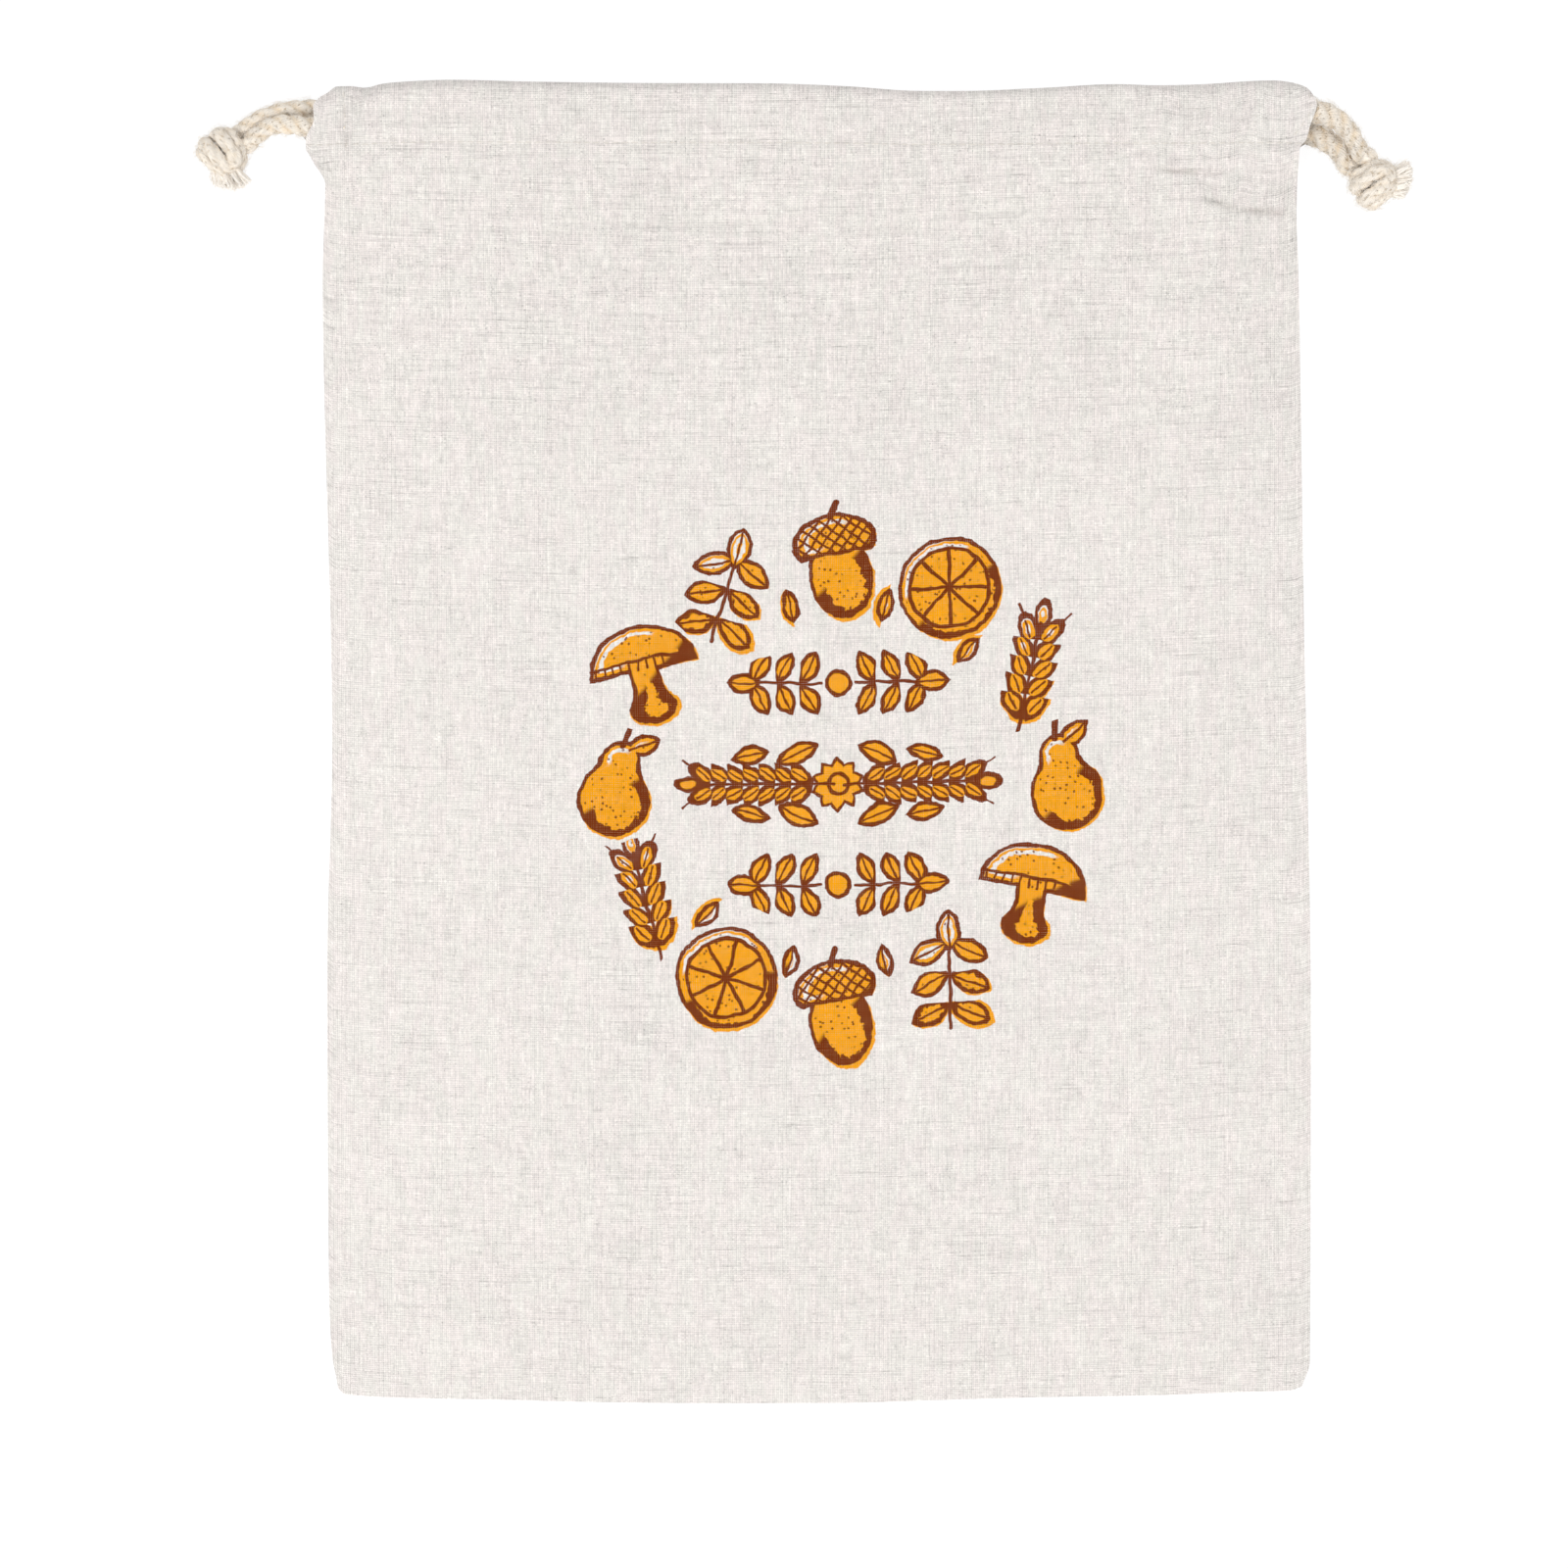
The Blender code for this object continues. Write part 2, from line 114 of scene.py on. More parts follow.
# Height of the front cloth away from its seams. Rows: y, then the fall from the casing's level.
FRONT_FALL = (
    (-200.0, 13.1), (-100.0, 13.0), (0.0, 12.5), (80.0, 11.2), (120.0, 9.0), (150.0, 5.8), (170.0, 2.6),
    (182.1, 1.0), (186.5, 0.0),
)
# Height of the side seam's middle. Rows: y, then z.
SEAM_HEIGHT = ((-200.0, 1.25), (50.0, 1.25), (110.0, 2.4), (150.0, 5.6), (167.0, 7.4))
SEAM_END_Y = 167.0
CASING_END_Y = 179.0
SIDE_MARGIN = 30.0
BOTTOM_MARGIN = 36.0
BACK_MARGIN = 18.0
HEM_LEFT = -130.5
HEM_RIGHT = 133.5
HEM_CLOSES_OVER = 4.0

# Creases of the front. Columns: start x, y, end x, y, half width, depth (below zero is a ridge).
CREASES = (
    (104.0, 174.4, 127.0, 173.2, 1.1, 1.8),
    (116.0, 172.6, 128.0, 164.6, 2.1, 1.4),
    (119.5, 166.0, 131.0, 162.4, 1.1, 1.8),
    (131.0, 162.4, 149.0, 161.8, 1.1, 2.1),
    (126.0, 169.8, 146.0, 167.0, 2.6, -1.4),
    (80.0, 189.4, 102.0, 184.6, 2.2, -0.7),
    (96.0, 181.0, 118.0, 176.8, 1.6, 0.5),
    (-72.0, 157.5, 6.0, 156.0, 1.4, 0.5),
    (14.0, 156.6, 46.0, 155.4, 1.3, 0.6),
    (-128.0, 158.3, -112.0, 157.6, 1.2, 0.35),
    (-137.4, 180.0, -137.8, 195.0, 1.5, -0.6),
    (-140.3, 179.0, -140.8, 195.5, 0.9, 1.3),
    (-140.4, 193.9, -134.4, 193.5, 0.9, 0.6),
    (-147.5, 176.0, -143.0, 168.0, 1.6, 0.5),
    (-143.0, 172.0, -128.0, 166.5, 2.2, 0.35),
    (134.0, 181.0, 150.5, 186.0, 1.6, 0.4),
    (138.0, 176.0, 149.0, 179.0, 1.4, -0.4),
)
CREASE_FADE = 8.0

# Grid lines: start, end, step. Columns run across from the left side, rows up the nominal length.
COLUMN_BANDS = (
    (0.0, 12.0, 0.9), (12.0, 36.0, 2.0), (36.0, 208.0, 3.6), (208.0, 285.0, 1.3), (285.0, 297.0, 0.9)
)
ROW_BANDS = ((-200.0, -184.0, 1.1), (-184.0, 104.0, 4.4), (104.0, 152.0, 2.2), (152.0, 195.7, 0.95))
FOLD_STEP = 10
HEM_ROWS = (194.5, 192.5, 190.5, 188.5, 187, 186, 185, 184.2, 183.2, STITCH_Y, 181, 180, HEM_END_Y)

# Cord routes, from the front strand at the knot, through the front casing, round the turn and
# back through the back casing. Columns: x, y, z in millimetres.
RIGHT_CORD = (
    (168.6, 179.2, 7.4), (167.2, 181.8, 7.8), (165.5, 184.9, 8.5), (163.2, 187.8, 9.2),
    (160.0, 190.2, 10.0), (155.6, 191.8, 10.9), (149.5, 193.3, 12.0), (141.0, 194.4, 13.1),
    (134.0, 194.2, 14.0), (125.0, 194.2, 14.85), (100.0, 194.2, 16.2), (70.0, 194.2, 16.95),
    (35.0, 194.2, 17.2), (0.0, 194.2, 17.2), (-35.0, 194.2, 17.2), (-70.0, 194.2, 16.95),
    (-100.0, 194.2, 16.05), (-121.0, 194.2, 14.85), (-130.0, 194.2, 14.0), (-136.0, 194.3, 12.6),
    (-139.8, 193.4, 11.3), (-141.4, 191.1, 8.25), (-139.8, 188.8, 5.2), (-136.0, 187.9, 4.0),
    (-125.0, 187.9, 3.9), (-80.0, 187.9, 3.9), (-30.0, 187.9, 3.9), (30.0, 187.9, 3.9),
    (80.0, 187.9, 3.9), (125.0, 187.9, 3.9), (141.0, 187.7, 3.9), (147.0, 187.2, 3.9),
    (151.8, 186.3, 3.9), (156.4, 184.8, 3.9), (160.0, 182.4, 3.9), (162.6, 179.4, 4.0),
    (164.5, 176.0, 4.0),
)
LEFT_CORD = (
    (-169.4, 183.6, 7.2), (-166.8, 185.8, 7.8), (-162.5, 188.2, 8.9), (-157.5, 188.3, 10.3),
    (-151.5, 187.5, 11.6), (-144.0, 187.3, 12.8), (-137.0, 187.7, 13.4), (-130.0, 187.9, 14.0),
    (-121.0, 187.9, 14.85), (-100.0, 187.9, 16.05), (-70.0, 187.9, 16.95), (-35.0, 187.9, 17.2),
    (0.0, 187.9, 17.2), (35.0, 187.9, 17.2), (70.0, 187.9, 16.95), (100.0, 187.9, 16.2),
    (125.0, 187.9, 14.85), (133.0, 187.9, 14.0), (139.0, 187.9, 12.6), (142.8, 188.8, 11.3),
    (144.4, 191.1, 8.25), (142.8, 193.4, 5.2), (139.0, 194.3, 4.0), (128.0, 194.2, 3.9),
    (80.0, 194.2, 3.9), (30.0, 194.2, 3.9), (-30.0, 194.2, 3.9), (-80.0, 194.2, 3.9),
    (-128.0, 194.2, 3.9), (-142.0, 194.2, 3.9), (-149.0, 193.4, 4.6), (-155.5, 193.0, 5.6),
    (-161.5, 192.3, 5.6), (-167.4, 190.1, 4.8), (-172.2, 187.1, 4.0),
)
# Where each cord leaves its casing, and its length
RIGHT_EXIT = (155.5, 190.5, 8.0)
LEFT_EXIT = (-156.5, 190.5, 7.5)
RIGHT_LENGTH = 0.635
LEFT_LENGTH = 0.640

# Where each knot lies, and the way its strands head into it. Columns: x, y, degrees.
RIGHT_KNOT = (172.3, 171.3, -60.0)
LEFT_KNOT = (-177.5, 180.3, -145.0)
KNOT_HEIGHT = 5.5
# The strands' way into the knot, in its own frame, for the upper strand and the lower one
UPPER_LEAD = ((-7.2, 2.3, 1.4), (-5.6, 2.0, 0.4), (-4.0, 1.0, -1.0))
LOWER_LEAD = ((-7.2, -2.6, -1.7), (-5.4, -2.2, -1.9), (-3.7, -1.5, -2.3))
# The middle of the doubled cord through the knot. Columns: x, y, z.
KNOT_PATH = (
    (-1.6, -0.6, -2.2), (2.2, -2.4, -2.2), (4.5, -4.7, 0.2), (4.3, -2.8, 2.9), (3.7, 1.4, 3.7),
    (1.9, 4.8, 2.2), (-1.2, 4.9, 1.9), (-2.8, 1.8, 3.7), (-2.8, -2.4, 3.5), (-2.2, -5.0, 0.4),
    (0.4, -3.0, -2.1), (2.9, 1.4, -1.8), (3.4, 4.8, 0.0),
)
KNOT_CORE = (0.6, 0.2, 0.4)
STRAND_APART = 1.5
KNOT_STRAND = 2.3
TUFT_ROOT = (3.2, 4.4, 0.2)
TUFT_HEADING = 70.0
TUFT_HALF_WIDTH = 3.6
# The lowest that a cord or a fibre comes to the surface below
LEAST_Z = 0.05
# How near another run of the cord must be for the painted shade where it presses on it
PRESS_REACH = 0.7
# Where a strand leaves the casing and nears the knot, by its distance from the middle, and over how much
LEAVES_AT = 143.0
LEAVES_OVER = 9.0
NEARS_KNOT_AT = 158.0
NEARS_KNOT_OVER = 7.0
FLUFF_FROM = 151.0
# The stretch inside the casing that may do with fewer rings, and the turn at its far end that may not
HIDDEN_TO = 138.0
TURN_AT = 142.0
TURN_REACH = 10.0
# How the plies are shaped: sharpness and depth of the grooves, and unevenness, as shares of the radius
GROOVE_SHARPNESS = 0.985
GROOVE_DEPTH = 0.21
ROPE_UNEVEN = 0.09
ROPE_SEGMENTS = 30
# Radius of a strand just outside its casing and by the knot, on the right and on the left
RIGHT_STRAND = (3.8, 3.0)
LEFT_STRAND = (3.1, 2.75)

# The camera's view, in metres: its height, its width on the cloth, and its middle
CAMERA_HEIGHT = 3.0
CLOTH_HEIGHT = 0.01
VIEW_WIDTH = 0.4768
VIEW_MIDDLE = (-0.0073, -0.0122)

# The print's middle on the front, and the side of the square that the flat pattern fills
PRINT_MIDDLE = (9.1, -10.7)
FLAT_SPAN = 500.0


class ClothSizes(bpy.types.PropertyGroup):
    """What a user may change on the panels."""

    thickness: FloatProperty(
        name="Cloth thickness",
        description="Thickness of one layer of the linen",
        default=0.0007,
        min=0.0003,
        max=0.001,
        unit="LENGTH",
    )
    swell: FloatProperty(
        name="Unevenness",
        description="Height of the soft waves in the front cloth",
        default=0.0005,
        min=0.0,
        max=0.002,
        unit="LENGTH",
    )
    ground: FloatVectorProperty(
        name="Linen",
        description="Colour of the unprinted cloth",
        default=(0.850, 0.805, 0.772),
        subtype="COLOR",
        min=0.0,
        max=1.0,
    )
    gold: FloatVectorProperty(
        name="Gold ink",
        description="Colour of the print's lighter ink",
        default=(0.89, 0.36, 0.002),
        subtype="COLOR",
        min=0.0,
        max=1.0,
    )
    brown: FloatVectorProperty(
        name="Brown ink",
        description="Colour of the print's darker ink",
        default=(0.175, 0.027, 0.0015),
        subtype="COLOR",
        min=0.0,
        max=1.0,
    )


class StitchSizes(bpy.types.PropertyGroup):
    """What a user may change on the stitching."""

    pitch: FloatProperty(
        name="Stitch pitch",
        description="Distance from one stitch to the next",
        default=0.0029,
        min=0.001,
        max=0.006,
        unit="LENGTH",
    )
    reach: FloatProperty(
        name="Stitch length",
        description="Length of the thread that shows in one stitch",
        default=0.0023,
        min=0.0008,
        max=0.005,
        unit="LENGTH",
    )
    thread: FloatProperty(
        name="Thread thickness",
        description="Thickness of the sewing thread",
        default=0.00036,
        min=0.0002,
        max=0.001,
        unit="LENGTH",
    )


class CordSizes(bpy.types.PropertyGroup):
    """What a user may change on the cords and knots."""

    plies: IntProperty(
        name="Plies", description="Number of plies twisted into the cord", default=3, min=2, max=5
    )
    lay: FloatProperty(
        name="Lay length",
        description="Length of cord over which a ply goes once round",
        default=0.015,
        min=0.006,
        max=0.04,
        unit="LENGTH",
    )
    fluff: IntProperty(
        name="Fluff",
        description="Loose fibres on a square centimetre of cord",
        default=130,
        min=0,
        max=400,
    )
    colour: FloatVectorProperty(
        name="Cotton",
        description="Colour of the cord",
        default=(0.965, 0.89, 0.79),
        subtype="COLOR",
        min=0.0,
        max=1.0,
    )


def read(table, at):
    """The value of a two-column table at any place, by a smooth curve that never overshoots a row."""
    if at <= table[0][0]:
        return table[0][1]
    if at >= table[-1][0]:
        return table[-1][1]
    grades = [(b[1] - a[1]) / (b[0] - a[0]) for a, b in zip(table, table[1:])]
    n = next(i for i, row in enumerate(table[1:]) if at <= row[0])

    def slope(row):
        if row == 0 or row == len(grades):
            return grades[min(row, len(grades) - 1)]
        below, above = grades[row - 1], grades[row]
        return 0.0 if below * above <= 0 else 2 * below * above / (below + above)

    (start, low), (end, high) = table[n], table[n + 1]
    width = end - start
    t = (at - start) / width
    rise = 3 * t * t - 2 * t**3
    return (
        low
        + (high - low) * rise
        + slope(n) * width * (t - 2 * t * t + t**3)
        + slope(n + 1) * width * (t**3 - t * t)
    )


def ease_in(t):
    """0 to 1 with no slope at either end."""
    t = min(max(t, 0.0), 1.0)
    return t * t * (3 - 2 * t)


def shoulder(t):
    """0 to 1, steep at the seam and level at the far end."""
    t = min(max(t, 0.0), 1.0)
    return 1 - (1 - t) ** 2


def between(a, b, t):
    return a + (b - a) * t


def banded(bands):
    """Grid lines at each band's own step."""
    lines = []
    for start, end, step in bands:
        count = max(1, round((end - start) / step))
        lines += [between(start, end, n / count) for n in range(count)]
    return lines + [bands[-1][1]]


def mouth_gap(x):
    """The gap between the two casings, wider in the middle of the mouth."""
    away = min(abs(x - MIDDLE_X) / ARCH_HALF_WIDTH, 1.0)
    return between(MOUTH_GAP_MIDDLE, MOUTH_GAP_SIDE, away**4)


def creased(x, y):
    """How far the creases push the front cloth down at a point."""
    total = 0.0
    for x0, y0, x1, y1, half_width, depth in CREASES:
        along, up = x1 - x0, y1 - y0
        t = ((x - x0) * along + (y - y0) * up) / (along**2 + up**2)
        near = min(max(t, 0.0), 1.0)
        off = math.hypot(x - x0 - near * along, y - y0 - near * up)
        taper = 1.0 - 0.7 * ease_in(abs(2 * near - 1) ** 3)
        total += depth * taper * math.exp(-((off / half_width) ** 2))
    return total


def waved(x, y):
    """Soft waves of cloth that lies loose, from -1 to 1."""
    broad = noise.noise(Vector((x / 58, y / 44, 3.1)))
    fine = noise.noise(Vector((x / 21, y / 26, 8.7)))
    return broad + 0.45 * fine


def side_to_side(across, height, sides):
    """x at a share of the width of a panel."""
    return between(read(sides[0], height), read(sides[1], height), across)


def outline_point(across, height, sides):
    """The x and y of the cloth at a share of its width and at a nominal height."""
    x = side_to_side(across, height, sides)
    up = (height + HALF_LENGTH) / (2 * HALF_LENGTH)
    top_wave = (read(TOP_SIDE, x) - HALF_LENGTH) * up**TOP_WAVE_POWER
    bottom_wave = (read(BOTTOM_SIDE, x) + HALF_LENGTH) * (1 - up) ** BOTTOM_WAVE_POWER
    return x, height + top_wave + bottom_wave


def from_side(x, height, sides):
    return min(x - read(sides[0], height), read(sides[1], height) - x)


def back_height(x, height):
    """The middle of the back cloth's thickness: on the surface but where the side seam lifts it."""
    lifted = read(SEAM_HEIGHT, height) - (CAD_CLOTH + CAD_SEAM_GAP) / 2
    freed = ease_in((height - SEAM_END_Y) / (CASING_END_Y - SEAM_END_Y))
    edge = between(lifted, BACK_LEVEL, freed)
    inward = ease_in(from_side(x, height, BACK_SIDES) / BACK_MARGIN)
    return between(edge, BACK_LEVEL, inward)


def front_height(x, height, thickness):
    """The middle of the front cloth's thickness, above the surface."""
    lifted = read(SEAM_HEIGHT, height) - (CAD_CLOTH + CAD_SEAM_GAP) / 2
    seam = lifted + thickness + 0.08
    casing = FRONT_LEVEL + MOUTH_GAP_SIDE
    freed = ease_in((height - SEAM_END_Y) / (CASING_END_Y - SEAM_END_Y))
    edge = between(seam, casing, freed)
    full = FRONT_LEVEL + mouth_gap(x) - read(FRONT_FALL, height)
    inward = shoulder(from_side(x, height, FRONT_SIDES) / SIDE_MARGIN)
    upward = shoulder((height + HALF_LENGTH) / BOTTOM_MARGIN)
    return between(edge, full, inward * upward)


def allowance(off):
    """The low ridge that the turned-in seam allowance presses into the cloth."""
    return 0.14 * (ease_in(off / 1.6) - ease_in((off - 7.5) / 2.2))


def front_surface(x, y, height, sizes):
    """The front cloth's middle with its creases, waves, seam ridges and the groove of the stitching."""
    z = front_height(x, height, sizes.thickness / MM)
    off_side = from_side(x, height, FRONT_SIDES)
    off_bottom = height + HALF_LENGTH
    near = min(off_side, off_bottom)
    loose = ease_in(near / 25) * (1 - ease_in((height - 168) / 14))
    z += sizes.swell / MM * waved(x, y) * loose
    z -= ease_in(off_side / CREASE_FADE + 0.12) * creased(x, y)
    z += allowance(near) * (1 - ease_in((height - 160) / 12))
    z -= 0.4 * math.exp(-(((y - STITCH_Y) / 1.2) ** 2))
    return z


def hem_span(across, share, sides):
    """x on the turned-in cloth, whose ends draw in from the sides as it leaves the fold."""
    left = between(read(sides[0], HALF_LENGTH), HEM_LEFT, share)
    right = between(read(sides[1], HALF_LENGTH), HEM_RIGHT, share)
    return between(left, right, across)


def fold_point(across, angle, level, inwards, sides):
    """A point round the fold at the mouth. inwards is -1 on the front and 1 on the back."""
    turned = math.radians(angle)
    rise = FOLD_RADIUS * math.cos(turned)
    if angle >= 0:
        height = HALF_LENGTH - CAD_CLOTH / 2 - FOLD_RADIUS + rise
        x = side_to_side(across, height, sides)
    else:
        x = hem_span(across, math.sin(-turned), sides)
    y = read(TOP_SIDE, x) - CAD_CLOTH / 2 - FOLD_RADIUS + rise
    z = level(x, HALF_LENGTH) + inwards * FOLD_RADIUS * (1 - math.sin(turned))
    return x, y, z


def hem_point(across, height, level, inwards, sides):
    """A point on the turned-in cloth between the fold and the hem's end."""
    x = hem_span(across, 1.0, sides)
    _, y = outline_point(across, height, sides)
    open_share = ease_in((height - STITCH_Y) / HEM_CLOSES_OVER)
    apart = between(STITCHED, 2 * FOLD_RADIUS, open_share)
    return x, y, level(x, height) + inwards * apart


def add_piece(name, data, material, replaced=()):
    """Links a finished piece to the scene, parents it to its body's empty and hides the CAD parts that
    it replaces.
    """
    made = bpy.data.objects.new(name, data)
    bpy.context.scene.collection.objects.link(made)
    if material:
        data.materials.clear()
        data.materials.append(material)
    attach(made, BODY)
    if replaced:
        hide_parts(*replaced)
    return made


def sheet_mesh(name, surface, level, inwards, sides):
    """One panel with its folded casing, as an open sheet whose UV map is its flat pattern."""
    columns = banded(COLUMN_BANDS)
    shares = [column / columns[-1] for column in columns]
    rows = []
    for height in banded(ROW_BANDS):
        row = []
        for across in shares:
            x, y = outline_point(across, height, sides)
            row.append(Vector((x, y, surface(x, y, height))))
        rows.append(row)
    front_rows = len(rows)
    for angle in range(90 - FOLD_STEP, -91, -FOLD_STEP):
        rows.append([Vector(fold_point(share, angle, level, inwards, sides)) for share in shares])
    for height in HEM_ROWS:
        rows.append([Vector(hem_point(share, height, level, inwards, sides)) for share in shares])
    flats = [[-HALF_LENGTH] * len(columns)]
    for row, after in zip(rows, rows[1:]):
        flats.append([flat + (b - a).length for flat, a, b in zip(flats[-1], row, after)])

    mesh = bpy.data.meshes.new(name)
    cloth = bmesh.new()
    last_column, last_row = len(columns) - 1, len(rows) - 1
    bmesh.ops.create_grid(cloth, x_segments=last_column, y_segments=last_row, size=0.5)
    pattern = cloth.loops.layers.uv.new("flat_pattern")
    # the creases' depth on the front, kept for the painted shade in its creases
    crease_shade_layer = cloth.verts.layers.float.new("crease")
    flat_at = {}
    for vertex in cloth.verts:
        column = round((vertex.co.x + 0.5) * last_column)
        row = round((vertex.co.y + 0.5) * last_row)
        spot = rows[row][column]
        along = flats[row][column]
        flat_at[vertex] = (0.5 - inwards * spot.x / FLAT_SPAN, along / FLAT_SPAN + 0.5)
        vertex.co = spot * MM
        if inwards < 0 and row < front_rows:
            vertex[crease_shade_layer] = max(creased(spot.x, spot.y), 0.0)
    for face in cloth.faces:
        for loop in face.loops:
            loop[pattern].uv = flat_at[loop.vert]
    cloth.to_mesh(mesh)
    cloth.free()
    mesh.shade_smooth()
    return mesh


def operator(operation, swapped=False):
    """A method that adds the Math node of one operator."""

    def apply(self, *others):
        values = (*others, self) if swapped else (self, *others)
        return self.graph.number("ShaderNodeMath", {"operation": operation}, dict(enumerate(values)))

    return apply


class Amount:
    """A number in a material's graph, on which Python's operators add Math nodes."""

    def __init__(self, graph, socket):
        self.graph = graph
        self.socket = socket

    __add__ = operator("ADD")
    __radd__ = operator("ADD", swapped=True)
    __sub__ = operator("SUBTRACT")
    __rsub__ = operator("SUBTRACT", swapped=True)
    __mul__ = operator("MULTIPLY")
    __rmul__ = operator("MULTIPLY", swapped=True)
    __truediv__ = operator("DIVIDE")
    __abs__ = operator("ABSOLUTE")
    least = operator("MINIMUM")
    most = operator("MAXIMUM")

    def __neg__(self):
        return self * -1.0

    def math(self, operation, *others):
        return operator(operation)(self, *others)

    def kept(self):
        """Held between 0 and 1."""
        return self.graph.number(
            "ShaderNodeMath", {"operation": "ADD", "use_clamp": True}, {0: self, 1: 0.0}
        )

    def stepped(self, low, high, below, above):
        """One value below low and another above high, with a smooth step between."""
        span = {"Value": self, "From Min": low, "From Max": high, "To Min": below, "To Max": above}
        return self.graph.number("ShaderNodeMapRange", {"interpolation_type": "SMOOTHSTEP"}, span)

    def rise(self, low, high):
        return self.stepped(low, high, 0.0, 1.0)

    def fall(self, low, high):
        return self.stepped(low, high, 1.0, 0.0)


class Graph:
    """The node graph of one material."""

    def __init__(self, name, roughness):
        self.material = bpy.data.materials.new(name)
        self.material.use_nodes = True
        self.tree = self.material.node_tree
        self.shader = self.tree.nodes["Principled BSDF"]
        self.shader.inputs["Roughness"].default_value = roughness
        self.shader.inputs["Metallic"].default_value = 0.0

    def node(self, kind, settings=None, values=None):
        """A node with its settings made first and then the values or links of its sockets."""
        made = self.tree.nodes.new(kind)
        for name, value in (settings or {}).items():
            setattr(made, name, value)
        for name, value in (values or {}).items():
            self.put(made.inputs[name], value)
        return made

    def put(self, socket, value):
        if isinstance(value, Amount):
            value = value.socket
        if isinstance(value, bpy.types.NodeSocket):
            self.tree.links.new(value, socket)
        else:
            socket.default_value = value

    def number(self, kind, settings=None, values=None, output=0):
        return Amount(self, self.node(kind, settings, values).outputs[output])

    def place(self, x, y):
        return self.node("ShaderNodeCombineXYZ", None, {"X": x, "Y": y}).outputs[0]

    def length(self, x, y):
        vector = self.place(x, y)
        node = self.node("ShaderNodeVectorMath", {"operation": "LENGTH"}, {0: vector})
        return Amount(self, node.outputs["Value"])

    def grain(self, x, y, detail=2.0):
        """Noise over a flat place, from 0 to 1."""
        return self.number(
            "ShaderNodeTexNoise",
            {"noise_dimensions": "2D"},
            {"Vector": self.place(x, y), "Scale": 1.0, "Detail": detail},
        )

    def colours(self, mode, share, below, above):
        """Two colours mixed by a share."""
        node = self.node(
            "ShaderNodeMix", {"data_type": "RGBA", "blend_type": mode}, {0: share, 6: below, 7: above}
        )
        return node.outputs[2]

    def grey(self, amount):
        """A number as a grey colour."""
        node = self.node("ShaderNodeCombineColor", None, {0: amount, 1: amount, 2: amount})
        return node.outputs[0]

    def bump(self, height, distance):
        values = {"Height": height, "Distance": distance, "Strength": 1.0}
        return self.node("ShaderNodeBump", None, values).outputs[0]


def turned(x, y, degrees):
    """A place turned clockwise by an angle, so that what is drawn there turns the other way."""
    c, s = math.cos(math.radians(degrees)), math.sin(math.radians(degrees))
    return x * c + y * s, y * c - x * s


def disc(graph, x, y, middle_x, middle_y, radius):
    return graph.length(x - middle_x, y - middle_y) - radius


def oval(graph, x, y, middle_x, middle_y, half_x, half_y):
    reach = graph.length((x - middle_x) / half_x, (y - middle_y) / half_y)
    return (reach - 1.0) * min(half_x, half_y)


def bar(graph, x, y, start, end, half):
    """Distance from a straight stroke with round ends."""
    dx, dy = end[0] - start[0], end[1] - start[1]
    span = dx * dx + dy * dy
    share = ((x - start[0]) * (dx / span) + (y - start[1]) * (dy / span)).kept()
    return graph.length(x - start[0] - share * dx, y - start[1] - share * dy) - half


def joined(a, b, softness):
    """Two shapes as one, with a soft neck between."""
    return a.math("SMOOTH_MIN", b, softness)


def leaf(graph, x, y, middle, degrees, reach, bulge):
    """A pointed leaf and its midrib."""
    lx, ly = turned(x - middle[0], y - middle[1], degrees)
    half = reach / 2
    radius = (half * half + bulge * bulge) / (2 * bulge)
    blade = graph.length(abs(lx) + (radius - bulge), ly) - radius
    rib = abs(lx).most(abs(ly) - half * 0.8) - 0.16
    return blade, rib


def pear(graph, x, y):
    body = joined(disc(graph, x, y, 0.0, -3.4, 7.4), disc(graph, x, y, 1.0, 5.2, 3.8), 4.5)
    blade, rib = leaf(graph, x, y, (5.4, 8.6), -66, 7.4, 1.9)
    stem = bar(graph, x, y, (1.2, 8.4), (2.6, 12.6), 0.5)
    return body.least(blade), stem.least(rib)


def mushroom(graph, x, y):
    cap = oval(graph, x, y, 0.0, 0.5, 11.5, 9.5).most(0.6 - y)
    stem = joined(bar(graph, x, y, (0.0, 1.0), (0.2, -5.5), 3.0), oval(graph, x, y, 0.2, -8, 4.6, 3), 2)
    gills = abs((x / 1.9).math("FRACT") - 0.5) * 1.9 - 0.14
    skirt = abs(y - 1.6) - 1.1
    edge = abs(y - 2.9 - x * x * -0.006) - 0.22
    ink = gills.most(skirt).least(edge).most(cap)
    return cap.least(stem), ink


def citrus(graph, x, y):
    out = graph.length(x, y)
    turn = y.math("ARCTAN2", x) / (2 * math.pi) * 8.0
    wedge = abs(turn.math("FRACT") - 0.5)
    spoke = (0.5 - wedge) * out * (2 * math.pi / 8) - 0.28
    ring = abs(out - 8.3) - 0.3
    return out - 10.4, spoke.most(out - 8.2).least(ring)


def acorn(graph, x, y):
    nut = oval(graph, x, y, 0.0, -3.4, 6.4, 8.6)
    cup = oval(graph, x, y, 0.0, 4.2, 8.4, 5.6).most(1.4 - y)
    net_a = abs(((x + y) / 2.6).math("FRACT") - 0.5) * 1.84 - 0.15
    net_b = abs(((x - y) / 2.6).math("FRACT") - 0.5) * 1.84 - 0.15
    stem = bar(graph, x, y, (0.0, 9.4), (1.8, 12.4), 0.6)
    rim = abs(y - 1.7) - 0.3
    ink = net_a.least(net_b).most(cup).least(rim.most(cup)).least(stem)
    return nut.least(cup), ink


